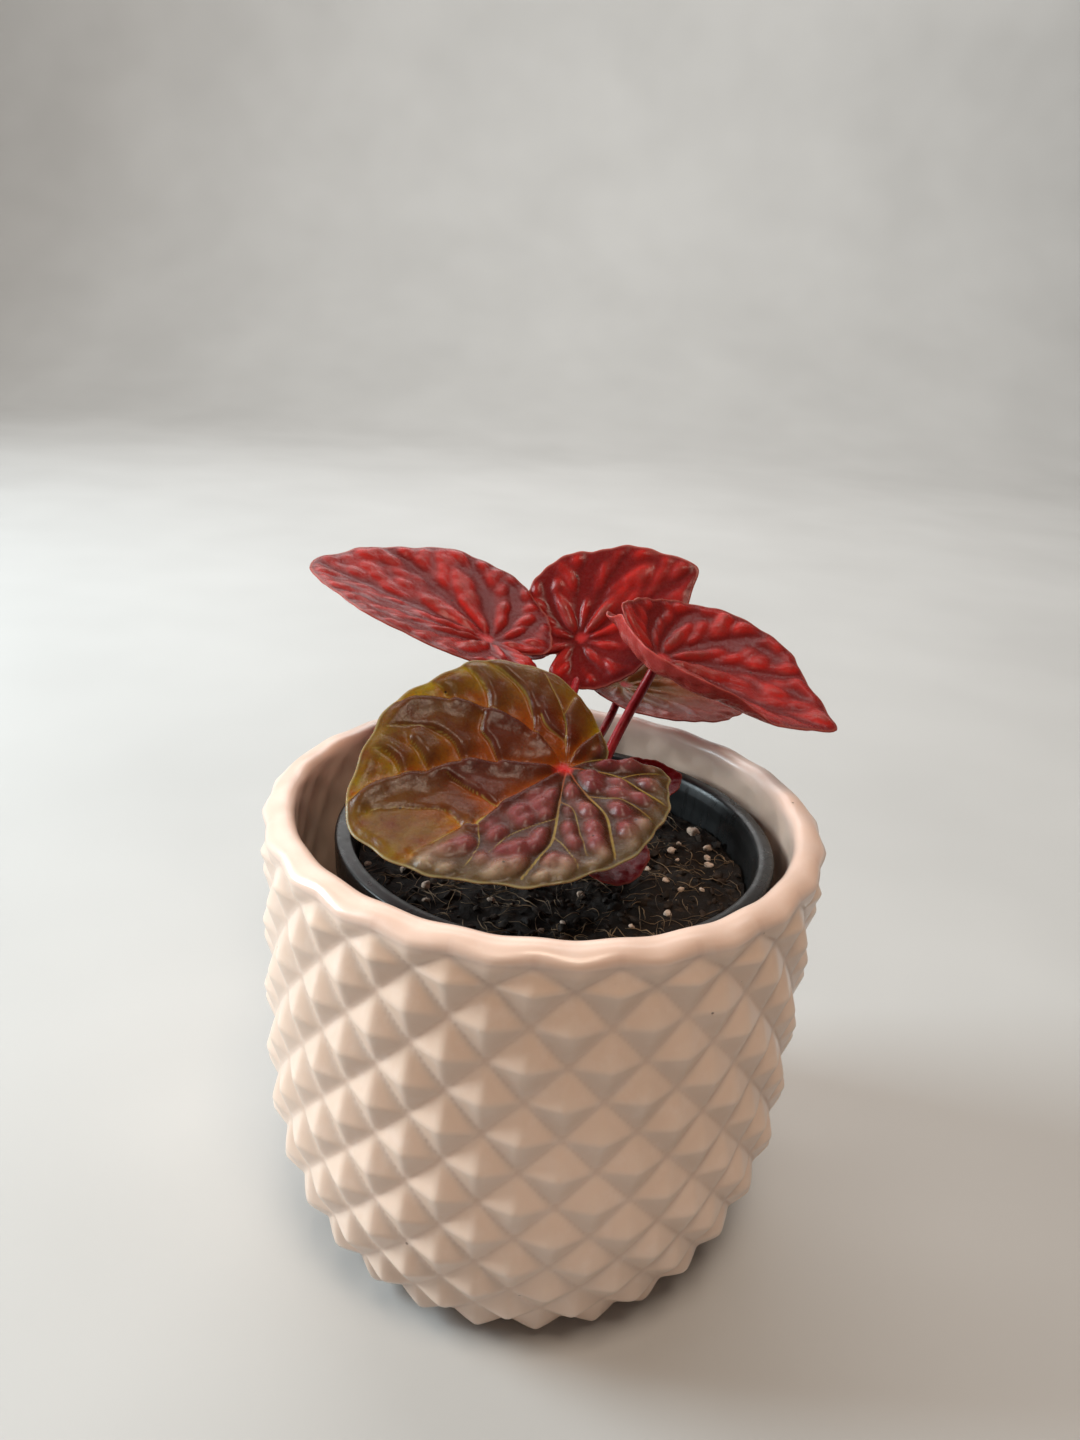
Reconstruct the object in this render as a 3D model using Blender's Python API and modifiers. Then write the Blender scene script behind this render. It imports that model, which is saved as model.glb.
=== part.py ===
"""Ripple peperomia in a nursery pot, standing in a cover pot with a pyramid relief.

Metres, +Z up. The origin is the centre of the cover pot's flat underside, and the
pot's front faces -Y. Each leaf is one body: a blade and the stalk it grew with.
"""

import math
import random

import bmesh
import bpy
from mathutils import Matrix, Vector, noise

MM = 0.001
GAP = 0.3 * MM

# Cover pot: its height, its radius in the valleys of the relief, and its walls
POT_HEIGHT = 112.6 * MM
POT_RADIUS = 63.8 * MM
POT_WALL = 5.2 * MM
POT_BASE_RADIUS = 46.5 * MM
POT_FLOOR = 6.0 * MM
# Below this height the wall curves in along a quarter ellipse of this depth and reach
POT_CURVE_TOP = 48.0 * MM
POT_CURVE_DEPTH = 24.0 * MM
POT_CURVE_REACH = 50.0 * MM

# Pyramid relief: pyramids in a row, half the height of one, and how far each stands out
CELLS_ROUND = 25
CELL_PITCH = 8.94 * MM
CELL_HEIGHT = 2.5 * MM
CELL_TOP_ROW = 104.4 * MM
CELL_ROWS = 12
CELL_TURN = math.radians(-14.03)
RIM_BAND_HEIGHT = 109.6 * MM
RIM_SCALLOP = 1.4 * MM

# Nursery pot, which stands a little to the right inside the cover pot
NURSERY_X = 2.8 * MM
NURSERY_TOP = 105.3 * MM
NURSERY_RIM_RADIUS = 52.5 * MM
NURSERY_MOUTH_RADIUS = 48.5 * MM
NURSERY_BASE_RADIUS = 37.0 * MM
NURSERY_WALL = 1.1 * MM
NURSERY_LIP_DROP = 9.0 * MM
DRAIN_HOLES = 6
DRAIN_RADIUS = 4.0 * MM
DRAIN_RING_RADIUS = 22.0 * MM

# Soil, with the hole that the crown stands in
SOIL_TOP = 96.5 * MM
SOIL_LUMPS = 1.4 * MM
STEM_HOLE_RADIUS = 5.0 * MM
STEM_HOLE_FLOOR = 84.0 * MM

# Perlite in millimetres on the soil: x, y and the grain's length
PERLITE = (
    (39.6, 22.5, 3.4), (42.3, 13.6, 2.3), (41.9, 9.5, 2.1), (41.8, 5.5, 2.3),
    (32.9, 10.3, 2.2), (9.8, -16.2, 2.2), (30.2, -6.1, 1.8), (33.6, -8.8, 1.8),
    (29.6, -21.0, 2.0), (-25.7, -19.5, 2.4), (-31.7, -13.1, 2.2), (-24.8, -26.3, 1.6),
    (-10.5, -22.8, 1.8), (-40.5, -11.3, 1.8), (1.2, -31.8, 1.6),
)
PERLITE_EXTRA = 14

# Crown, the short stem that the leaves grow from
CROWN_RADIUS = 4.6 * MM
CROWN_TOP = 101.5 * MM
CROWN_BOTTOM = STEM_HOLE_FLOOR + GAP

# Blades: thickness, how far out each ring of points lies, and the way of each main vein
BLADE_THICKNESS = 0.9 * MM
SMALL_BLADE_THICKNESS = 0.7 * MM
BLADE_RINGS = (0.0, 0.14, 0.32, 0.52, 0.72, 0.88, 1.0)
SMALL_BLADE_RINGS = (0.0, 0.25, 0.5, 0.78, 1.0)
VEIN_DEGREES = (-180, -152, -124, -94, -60, -28, 0, 28, 60, 94, 124, 152, 180)
STEPS_BETWEEN_VEINS = 4
SMALL_STEPS_BETWEEN_VEINS = 2
SMALL_LENGTH = 20.0

# Outlines: the distance from the stalk to the margin at these angles from the tip, as a
# share of the blade's length
OUTLINE_DEGREES = (0, 8, 25, 50, 80, 110, 140, 163, 180)
HEART = (0.98, 0.93, 0.82, 0.69, 0.64, 0.53, 0.46, 0.38, 0.20)
ROUND_HEART = (0.96, 0.93, 0.86, 0.76, 0.65, 0.54, 0.47, 0.40, 0.20)
FRONT_SIDE = (0.96, 0.95, 0.865, 0.77, 0.645, 0.52, 0.45, 0.41, 0.20)
BACK_SIDE = (0.96, 0.92, 0.856, 0.73, 0.61, 0.465, 0.30, 0.24, 0.20)
BROAD_SIDE = (1.0, 0.95, 0.85, 0.77, 0.60, 0.45, 0.37, 0.34, 0.20)
NARROW_SIDE = (1.0, 0.90, 0.78, 0.69, 0.60, 0.50, 0.42, 0.36, 0.20)
CURLED_SIDE = (0.98, 0.90, 0.74, 0.56, 0.46, 0.40, 0.36, 0.32, 0.20)
SHORT_LOBE = (1.0, 0.94, 0.81, 0.69, 0.55, 0.42, 0.34, 0.29, 0.18)

# The leaves, in millimetres and degrees. seat is where the stalk meets the blade, tip
# the way to the tip, up the way the upper side faces. halves are the outlines left and
# right of the midrib, fold the slope of each half up from it, droop its bend in radians,
# cup and lobes how the blade and its back lobes rise, and ripple the height of the
# bulges between veins. root is where the stalk leaves the crown, as a compass angle
# from +X, and bow how far up the stalk rises before it turns to the blade.
LEAVES = {
    "leaf_front": dict(
        seat=(4.1, -9.0, 125.0), tip=(-0.893, -0.434, -0.115), up=(0.065, -0.378, 0.924),
        length=53.0, halves=(FRONT_SIDE, BACK_SIDE), fold=0.28, droop=0.0,
        cup=-0.03, lobes=-0.04, ripple=1.5, stalk=1.35, root=-85, bow=0.5,
    ),
    "leaf_left": dict(
        seat=(-18.1, 37.2, 139.3), tip=(-0.927, 0.183, 0.328), up=(0.302, -0.153, 0.941),
        length=52.4, halves=(SHORT_LOBE, SHORT_LOBE), fold=0.25, droop=0.19,
        cup=0.07, lobes=0.15, ripple=1.2, stalk=1.3, root=172, bow=0.6,
    ),
    "leaf_back": dict(
        seat=(6.0, 52.0, 136.9), tip=(0.80, 0.14, 0.58), up=(-0.30, -0.76, 0.57),
        length=37.8, halves=(HEART, CURLED_SIDE), fold=0.10, droop=0.05,
        cup=0.05, lobes=0.08, ripple=1.2, stalk=1.25, root=107, bow=0.6,
    ),
    "leaf_right": dict(
        seat=(25.6, 24.3, 142.7), tip=(0.897, -0.237, -0.373), up=(0.343, -0.161, 0.926),
        length=45.5, halves=(BROAD_SIDE, NARROW_SIDE), fold=0.25, droop=0.0,
        cup=0.18, lobes=0.42, ripple=1.2, stalk=1.3, root=38, bow=0.55,
    ),
    "leaf_back_right": dict(
        seat=(19.0, 55.0, 123.6), tip=(0.97, 0.20, -0.10), up=(0.05, -0.22, 0.97),
        length=39.0, halves=(SHORT_LOBE, SHORT_LOBE), fold=0.22, droop=0.20,
        cup=0.10, lobes=0.35, ripple=1.1, stalk=1.2, root=73, bow=0.45,
    ),
    "leaf_small_back": dict(
        seat=(-12.4, 60.2, 133.0), tip=(0.88, 0.42, 0.10), up=(-0.10, -0.50, 0.86),
        length=17.0, halves=(HEART, HEART), fold=0.25, droop=0.2,
        cup=0.1, lobes=0.2, ripple=0.6, stalk=0.8, root=140, bow=0.55,
    ),
    "leaf_low_front": dict(
        seat=(13.0, -10.5, 106.0), tip=(0.32, -0.94, -0.05), up=(0.05, -0.10, 0.99),
        length=16.0, halves=(ROUND_HEART, ROUND_HEART), fold=0.35, droop=0.1,
        cup=0.25, lobes=0.2, ripple=0.5, stalk=0.9, root=-38, bow=0.4,
    ),
    "leaf_low_right": dict(
        seat=(23.0, 19.0, 108.5), tip=(0.90, 0.36, 0.25), up=(-0.20, -0.45, 0.87),
        length=13.0, halves=(HEART, HEART), fold=0.55, droop=0.1,
        cup=0.1, lobes=0.1, ripple=0.4, stalk=0.8, root=5, bow=0.4,
    ),
}
STALK_POINTS = 12


def main():
    clear_scene()
    parts = new_collection("ripple_peperomia")
    cutters = new_collection("cutters")
    make_cover_pot(parts)
    make_nursery_pot(parts, cutters)
    make_soil(parts)
    make_crown(parts)
    for name, leaf in LEAVES.items():
        make_leaf(name, leaf, parts)


def clear_scene():
    for obj in list(bpy.data.objects):
        bpy.data.objects.remove(obj)


def new_collection(name):
    collection = bpy.data.collections.new(name)
    bpy.context.scene.collection.children.link(collection)
    return collection


def add_object(name, mesh, collection):
    obj = bpy.data.objects.new(name, mesh)
    collection.objects.link(obj)
    return obj


def add_material(obj, name, colour, roughness, metallic=0.0):
    material = bpy.data.materials.get(name) or bpy.data.materials.new(name)
    material.use_nodes = True
    shader = material.node_tree.nodes["Principled BSDF"]
    shader.inputs["Base Color"].default_value = (*colour, 1.0)
    shader.inputs["Roughness"].default_value = roughness
    shader.inputs["Metallic"].default_value = metallic
    obj.data.materials.clear()
    obj.data.materials.append(material)


def apply_modifiers(obj):
    """Keeps the evaluated shape as the object's own mesh."""
    graph = bpy.context.evaluated_depsgraph_get()
    mesh = bpy.data.meshes.new_from_object(obj.evaluated_get(graph))
    obj.modifiers.clear()
    obj.data = mesh


def turned(name, profile, steps, collection):
    """A turned solid: (radius, height) points, up the inside and down the outside."""
    mesh = bpy.data.meshes.new(name)
    edges = [(i, i + 1) for i in range(len(profile) - 1)]
    mesh.from_pydata([(radius, 0.0, height) for radius, height in profile], edges, [])
    obj = add_object(name, mesh, collection)
    screw = obj.modifiers.new("turn", "SCREW")
    screw.steps = steps
    screw.render_steps = steps
    screw.use_merge_vertices = True
    screw.merge_threshold = 0.00001
    apply_modifiers(obj)
    return obj


def smooth(obj, degrees):
    obj.data.shade_smooth()
    obj.data.set_sharp_from_angle(angle=math.radians(degrees))


def pot_radius(height):
    """The cover pot's radius in its valleys: straight above, a quarter ellipse below."""
    if height >= POT_CURVE_TOP:
        return POT_RADIUS
    share = (POT_CURVE_TOP - height) / POT_CURVE_REACH
    return POT_RADIUS - POT_CURVE_DEPTH * (1.0 - math.sqrt(1.0 - share * share))


def relief_row(row):
    return CELL_TOP_ROW - row * CELL_PITCH


def cover_pot_profile():
    inner = [(0.0, POT_FLOOR), (pot_radius(POT_FLOOR) - 2.6 * POT_WALL, POT_FLOOR)]
    inner.append((pot_radius(POT_FLOOR) - 1.4 * POT_WALL, POT_FLOOR + 0.5 * POT_WALL))
    for height in (0.018, 0.034, 0.052, 0.080):
        inner.append((pot_radius(height) - POT_WALL, height))
    lip_inner = POT_RADIUS - POT_WALL
    lip = [
        (lip_inner, POT_HEIGHT - 2.6 * MM),
        (lip_inner + 0.9 * MM, POT_HEIGHT - 0.8 * MM),
        (lip_inner + 2.6 * MM, POT_HEIGHT),
        (POT_RADIUS - 0.3 * MM, POT_HEIGHT - 0.7 * MM),
        (POT_RADIUS + 0.8 * MM, RIM_BAND_HEIGHT),
    ]
    rows = [(pot_radius(relief_row(row)), relief_row(row)) for row in range(CELL_ROWS)]
    return inner + lip + rows + [(POT_BASE_RADIUS, 0.0), (0.0, 0.0)]


def half_step(point):
    """How many half pyramids a point lies round the pot from the first valley."""
    turn = math.atan2(point.x, -point.y) - CELL_TURN
    return round(turn * CELLS_ROUND / math.pi)


def make_cover_pot(collection):
    obj = turned("cover_pot", cover_pot_profile(), 2 * CELLS_ROUND, collection)
    half_pyramid = math.pi / CELLS_ROUND
    obj.data.transform(Matrix.Rotation(CELL_TURN + 0.5 * half_pyramid, 4, "Z"))
    work = bmesh.new()
    work.from_mesh(obj.data)
    peaks, valleys = sort_relief_points(work)
    raise_relief(peaks)
    split_relief_faces(work, valleys)
    bmesh.ops.triangulate(work, faces=work.faces)
    work.to_mesh(obj.data)
    work.free()
    smooth(obj, 20)
    add_material(obj, "blush_glaze", (0.80, 0.62, 0.53), 0.38)


def sort_relief_points(work):
    """Every other point of each relief row is a pyramid's peak, the rest are valleys."""
    heights = [RIM_BAND_HEIGHT] + [relief_row(row) for row in range(CELL_ROWS)]
    peaks = []
    valleys = set()
    for vert in work.verts:
        radius = math.hypot(vert.co.x, vert.co.y)
        for row, height in enumerate(heights):
            outside = radius > pot_radius(height) - 0.5 * MM
            if abs(vert.co.z - height) > 0.01 * MM or not outside:
                continue
            if (half_step(vert.co) + row) % 2:
                peaks.append((vert, row))
            else:
                valleys.add(vert)
    return peaks, valleys


def raise_relief(peaks):
    for vert, row in peaks:
        outward = Vector((vert.co.x, vert.co.y, 0.0)).normalized()
        if row == 0:
            vert.co += outward * RIM_SCALLOP
            continue
        slope = pot_radius(vert.co.z + MM) - pot_radius(vert.co.z - MM)
        down = math.atan2(slope, 2.0 * MM)
        vert.co += outward * CELL_HEIGHT * math.cos(down)
        vert.co.z -= CELL_HEIGHT * math.sin(down)


def split_relief_faces(work, valleys):
    """Each square of the relief is cut from valley to valley, so peaks stay pyramids."""
    for face in list(work.faces):
        low = [vert for vert in face.verts if vert in valleys]
        if len(face.verts) == 4 and len(low) == 2:
            bmesh.utils.face_split(face, low[0], low[1])


def nursery_inner_radius(height):
    """The inside of the nursery pot's tapered wall."""
    floor = POT_FLOOR + GAP
    share = (height - floor) / (NURSERY_TOP - floor)
    base = NURSERY_BASE_RADIUS - NURSERY_WALL
    return base + share * (NURSERY_MOUTH_RADIUS - base)


def nursery_profile():
    under = POT_FLOOR + GAP
    floor = under + NURSERY_WALL
    skirt = NURSERY_TOP - NURSERY_LIP_DROP
    neck = nursery_inner_radius(skirt) + NURSERY_WALL
    edge = 0.5 * MM
    return [
        (0.0, floor),
        (nursery_inner_radius(floor) - edge, floor),
        (nursery_inner_radius(floor + 4.0 * MM), floor + 4.0 * MM),
        (nursery_inner_radius(NURSERY_TOP - 3.0 * MM), NURSERY_TOP - 3.0 * MM),
        (NURSERY_MOUTH_RADIUS, NURSERY_TOP - edge),
        (NURSERY_MOUTH_RADIUS + edge, NURSERY_TOP),
        (NURSERY_RIM_RADIUS - edge, NURSERY_TOP),
        (NURSERY_RIM_RADIUS, NURSERY_TOP - edge),
        (NURSERY_RIM_RADIUS - edge, skirt),
        (neck, skirt),
        (NURSERY_BASE_RADIUS + edge, under + 3.0 * MM),
        (NURSERY_BASE_RADIUS, under),
        (0.0, under),
    ]


def make_nursery_pot(collection, cutters):
    obj = turned("nursery_pot", nursery_profile(), 48, collection)
    obj.data.transform(Matrix.Translation((NURSERY_X, 0.0, 0.0)))
    for index in range(DRAIN_HOLES):
        angle = 2.0 * math.pi * index / DRAIN_HOLES
        place = (
            NURSERY_X + DRAIN_RING_RADIUS * math.cos(angle),
            DRAIN_RING_RADIUS * math.sin(angle),
            POT_FLOOR + GAP,
        )
        cutter = add_drain_cutter(f"drain_cutter_{index + 1}", place, cutters)
        cut = obj.modifiers.new(f"drain_{index + 1}", "BOOLEAN")
        cut.operation = "DIFFERENCE"
        cut.object = cutter
    smooth(obj, 35)
    add_material(obj, "black_plastic", (0.022, 0.023, 0.025), 0.42)


def add_drain_cutter(name, place, cutters):
    mesh = bpy.data.meshes.new(name)
    work = bmesh.new()
    bmesh.ops.create_cone(
        work, cap_ends=True, segments=16, radius1=DRAIN_RADIUS, radius2=DRAIN_RADIUS,
        depth=4.0 * NURSERY_WALL, matrix=Matrix.Translation(place),
    )
    work.to_mesh(mesh)
    work.free()
    cutter = add_object(name, mesh, cutters)
    cutter.hide_render = True
    cutter.display_type = "WIRE"
    return cutter


def soil_height(x, y):
    """The lumpy top of the soil: level at the crown and along the pot's wall."""
    radius = math.hypot(x, y)
    edge = NURSERY_MOUTH_RADIUS
    window = min(1.0, max(0.0, (radius - 7.0 * MM) / (8.0 * MM)))
    lumps = noise.noise(Vector((x, y, 0.0)) / (9.0 * MM))
    fine = noise.noise(Vector((x, y, 4.0 * MM)) / (3.5 * MM))
    mound = 0.6 * MM * (1.0 - radius / edge)
    tilt = -0.9 * MM * y / edge - 1.2 * MM * x / edge
    return SOIL_TOP + mound * window + tilt * window + SOIL_LUMPS * window * (lumps + 0.4 * fine)


def make_soil(collection):
    wall = nursery_inner_radius(SOIL_TOP - 4.0 * MM) - GAP
    rings = (8.0, 11.5, 15.5, 20.0, 24.5, 29.0, 33.5, 38.0, 42.5)
    floor = POT_FLOOR + 2.0 * GAP + NURSERY_WALL
    low = floor + 4.0 * MM
    profile = [(0.0, STEM_HOLE_FLOOR), (STEM_HOLE_RADIUS, STEM_HOLE_FLOOR)]
    profile += [(STEM_HOLE_RADIUS, SOIL_TOP)]
    profile += [(radius * MM, SOIL_TOP) for radius in rings]
    profile += [(wall, SOIL_TOP), (nursery_inner_radius(low) - GAP, low)]
    profile += [(nursery_inner_radius(floor) - 1.0 * MM, floor), (0.0, floor)]
    obj = turned("soil", profile, 40, collection)
    for vert in obj.data.vertices:
        if abs(vert.co.z - SOIL_TOP) < 0.01 * MM:
            vert.co.z = soil_height(vert.co.x, vert.co.y)
    obj.data.transform(Matrix.Translation((NURSERY_X, 0.0, 0.0)))
    fuse(obj, perlite_grains())
    smooth(obj, 50)
    add_material(obj, "dark_peat", (0.030, 0.020, 0.014), 0.95)


def perlite_grains():
    """Grains where the photo's view shows them, and a few more on the rest."""
    draw = random.Random(11)
    grains = [(x * MM, y * MM, size * MM) for x, y, size in PERLITE]
    while len(grains) < len(PERLITE) + PERLITE_EXTRA:
        angle = draw.uniform(0.0, 2.0 * math.pi)
        radius = draw.uniform(13.0, 44.0) * MM
        place = (NURSERY_X + radius * math.cos(angle), radius * math.sin(angle))
        if all(math.dist(place, other[:2]) > 5.0 * MM for other in grains):
            grains.append((*place, draw.uniform(1.6, 2.6) * MM))
    return [add_grain(index, grain, draw) for index, grain in enumerate(grains)]


def add_grain(index, grain, draw):
    x, y, size = grain
    height = soil_height(x - NURSERY_X, y) + 0.04 * size
    turn = Matrix.Rotation(draw.uniform(0.0, math.pi), 4, "Z")
    squash = Matrix.Diagonal((0.5 * size, 0.38 * size, 0.40 * size, 1.0))
    mesh = bpy.data.meshes.new(f"grain_{index}")
    work = bmesh.new()
    bmesh.ops.create_icosphere(work, subdivisions=1, radius=1.0)
    work.transform(Matrix.Translation((x, y, height)) @ turn @ squash)
    work.to_mesh(mesh)
    work.free()
    return add_object(f"grain_{index}", mesh, bpy.context.scene.collection)


def fuse(obj, pieces):
    """Joins the pieces to the object as one body and removes their own objects."""
    group = new_collection(f"{obj.name}_pieces")
    for piece in pieces:
        group.objects.link(piece)
    union = obj.modifiers.new("fuse", "BOOLEAN")
    union.operation = "UNION"
    union.operand_type = "COLLECTION"
    union.collection = group
    union.solver = "MANIFOLD"
    bpy.context.view_layer.update()
    apply_modifiers(obj)
    for piece in pieces:
        bpy.data.objects.remove(piece)
    bpy.data.collections.remove(group)


def make_crown(collection):
    """A short stem with the swollen scars of old leaves, domed at its top."""
    knuckles = ((0.0, 0.0), (3.4, 0.0), (3.9, 3.0), (4.3, 7.0), (4.0, 9.0), (4.6, 11.5))
    profile = [(radius * MM, CROWN_BOTTOM + rise * MM) for radius, rise in knuckles]
    profile += [
        (0.97 * CROWN_RADIUS, CROWN_TOP - 3.0 * MM),
        (0.75 * CROWN_RADIUS, CROWN_TOP - 1.1 * MM),
        (0.0, CROWN_TOP),
    ]
    obj = turned("crown", profile[::-1], 16, collection)
    obj.data.transform(Matrix.Translation((NURSERY_X, 0.0, 0.0)))
    smooth(obj, 60)
    add_material(obj, "crown_green", (0.20, 0.10, 0.05), 0.6)


def curve_through(xs, ys, x):
    """A smooth value at x on a curve through the points, level at both ends."""
    index = max(i for i in range(len(xs) - 1) if xs[i] <= x or i == 0)
    step = xs[index + 1] - xs[index]
    share = (x - xs[index]) / step

    def slope(i):
        if i == 0 or i == len(xs) - 1:
            return 0.0
        return (ys[i + 1] - ys[i - 1]) / (xs[i + 1] - xs[i - 1])

    start, end = slope(index) * step, slope(index + 1) * step
    rise = ys[index + 1] - ys[index]
    return (
        ys[index]
        + share * start
        + share**2 * (3.0 * rise - 2.0 * start - end)
        + share**3 * (start + end - 2.0 * rise)
    )


def blade_angle(panel):
    """The angle from the tip at a place counted in panels, from vein to vein."""
    vein = min(int(panel), len(VEIN_DEGREES) - 2)
    share = panel - vein
    return VEIN_DEGREES[vein] + share * (VEIN_DEGREES[vein + 1] - VEIN_DEGREES[vein])


def ripple(panel, ring, height):
    """Bulges between the veins, flat at the stalk and lower at the margin."""
    across = math.sin(math.pi * panel) ** 2
    along = math.sin(math.pi * 0.86 * ring)
    return height * across * along


def blade_point(leaf, panel, ring):
    """A point of the blade's middle surface, in the leaf's own millimetres."""
    degrees = blade_angle(panel)
    angle = math.radians(degrees)
    outline = leaf["halves"][0 if degrees > 0.0 else 1]
    reach = leaf["length"] * curve_through(OUTLINE_DEGREES, outline, abs(degrees))
    along = ring * reach * math.cos(angle)
    across = ring * reach * math.sin(angle)
    rise = leaf["fold"] * (math.hypot(across, 5.0) - 5.0)
    rise += leaf["cup"] * (along**2 + across**2) / 60.0
    rise += leaf["lobes"] * max(-along, 0.0) ** 1.5 / 6.0
    rise += ripple(panel, ring, leaf["ripple"])
    bend = max(leaf["droop"], 0.001) / leaf["length"]
    turn = bend * along
    return Vector((
        math.sin(turn) / bend + rise * math.sin(turn),
        across,
        -(1.0 - math.cos(turn)) / bend + rise * math.cos(turn),
    ))


def leaf_frame(leaf):
    """The blade's place: its own x runs to the tip and its own z out of the upper side."""
    along = Vector(leaf["tip"]).normalized()
    up = Vector(leaf["up"])
    up = (up - up.dot(along) * along).normalized()
    across = up.cross(along)
    place = Matrix((along, across, up)).transposed().to_4x4()
    place.translation = Vector(leaf["seat"])
    return Matrix.Scale(MM, 4) @ place


def make_blade(name, leaf, collection):
    """A disc of spokes and rings, each point moved to its place on the blade."""
    small = leaf["length"] < SMALL_LENGTH
    steps = SMALL_STEPS_BETWEEN_VEINS if small else STEPS_BETWEEN_VEINS
    columns = steps * (len(VEIN_DEGREES) - 1)
    rings = SMALL_BLADE_RINGS if small else BLADE_RINGS
    work = bmesh.new()
    spoke = [work.verts.new((-ring, 0.0, 0.0)) for ring in rings]
    edges = [work.edges.new(pair) for pair in zip(spoke, spoke[1:])]
    bmesh.ops.spin(
        work, geom=spoke + edges, axis=(0.0, 0.0, 1.0), cent=(0.0, 0.0, 0.0),
        angle=2.0 * math.pi, steps=columns, use_merge=True,
    )
    bmesh.ops.remove_doubles(work, verts=work.verts, dist=0.0001)
    bmesh.ops.recalc_face_normals(work, faces=work.faces)
    place = leaf_frame(leaf)
    for vert in work.verts:
        turn = math.atan2(-vert.co.y, -vert.co.x) % (2.0 * math.pi)
        column = round(turn * columns / (2.0 * math.pi)) % columns
        vert.co = place @ blade_point(leaf, column / steps, vert.co.length)
    bmesh.ops.triangulate(work, faces=work.faces, quad_method="SHORT_EDGE")
    bmesh.ops.recalc_face_normals(work, faces=work.faces)
    mesh = bpy.data.meshes.new(name)
    work.to_mesh(mesh)
    work.free()
    obj = add_object(name, mesh, collection)
    wall = obj.modifiers.new("thickness", "SOLIDIFY")
    wall.thickness = SMALL_BLADE_THICKNESS if small else BLADE_THICKNESS
    wall.offset = 0.0
    apply_modifiers(obj)
    return obj


def stalk_path(leaf):
    """From the crown's side up and over to the middle of the blade, as one bow."""
    angle = math.radians(leaf["root"])
    outward = Vector((math.cos(angle), math.sin(angle), 0.0))
    stand = CROWN_RADIUS / MM + GAP / MM + leaf["stalk"]
    start = Vector((NURSERY_X / MM, 0.0, SOIL_TOP / MM + 1.0)) + stand * outward
    end = Vector(leaf["seat"])
    span = (end - start).length
    under = -(Vector(leaf["up"]).normalized() + (end - start) / span).normalized()
    first = start + leaf["bow"] * span * (Vector((0.0, 0.0, 1.0)) + 0.25 * outward)
    second = end + 0.3 * span * under
    path = []
    for step in range(STALK_POINTS):
        t = step / (STALK_POINTS - 1)
        path.append(
            (1 - t) ** 3 * start + 3 * (1 - t) ** 2 * t * first
            + 3 * (1 - t) * t**2 * second + t**3 * end
        )
    return path


def make_stalk(name, leaf):
    """A tube that is thicker at its foot and thins into the blade."""
    curve = bpy.data.curves.new(name, "CURVE")
    curve.dimensions = "3D"
    curve.bevel_depth = leaf["stalk"] * MM
    curve.bevel_resolution = 2
    curve.use_fill_caps = True
    spline = curve.splines.new("POLY")
    path = stalk_path(leaf)
    spline.points.add(len(path) - 1)
    for index, (point, place) in enumerate(zip(spline.points, path)):
        point.co = (*(place * MM), 1.0)
        point.radius = 1.0 - 0.25 * index / (len(path) - 1)
    spline.points[-1].radius = 0.25 / leaf["stalk"]
    tube = bpy.data.objects.new(name, curve)
    bpy.context.scene.collection.objects.link(tube)
    graph = bpy.context.evaluated_depsgraph_get()
    mesh = bpy.data.meshes.new_from_object(tube.evaluated_get(graph))
    bpy.data.objects.remove(tube)
    work = bmesh.new()
    work.from_mesh(mesh)
    bmesh.ops.remove_doubles(work, verts=work.verts, dist=0.00001)
    bmesh.ops.recalc_face_normals(work, faces=work.faces)
    work.to_mesh(mesh)
    work.free()
    return add_object(name, mesh, bpy.context.scene.collection)


def make_leaf(name, leaf, collection):
    obj = make_blade(name, leaf, collection)
    fuse(obj, [make_stalk(f"{name}_stalk", leaf)])
    smooth(obj, 60)
    if name == "leaf_front":
        add_material(obj, "olive_burgundy_leaf", (0.26, 0.11, 0.04), 0.32)
    else:
        add_material(obj, "crimson_leaf", (0.42, 0.035, 0.04), 0.35)


main()
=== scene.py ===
"""Ripple peperomia in a nursery pot and a blush cover pot: the finished surfaces."""

import math
import random

import bmesh
import bpy
import numpy as np
from mathutils import Matrix, Vector, noise


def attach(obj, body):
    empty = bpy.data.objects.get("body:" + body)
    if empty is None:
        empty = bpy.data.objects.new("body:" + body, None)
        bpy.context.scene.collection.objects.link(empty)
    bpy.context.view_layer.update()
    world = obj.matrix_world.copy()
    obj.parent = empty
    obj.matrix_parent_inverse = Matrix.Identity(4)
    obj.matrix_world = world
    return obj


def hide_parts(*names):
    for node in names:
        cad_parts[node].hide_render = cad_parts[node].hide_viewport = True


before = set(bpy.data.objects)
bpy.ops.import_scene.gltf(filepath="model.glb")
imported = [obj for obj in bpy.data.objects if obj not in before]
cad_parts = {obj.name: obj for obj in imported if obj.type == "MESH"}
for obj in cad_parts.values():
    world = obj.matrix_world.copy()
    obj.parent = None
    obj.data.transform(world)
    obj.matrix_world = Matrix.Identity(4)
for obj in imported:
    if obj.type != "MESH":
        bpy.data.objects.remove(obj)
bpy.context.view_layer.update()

MM = 0.001
WELD = 0.000005

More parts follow.
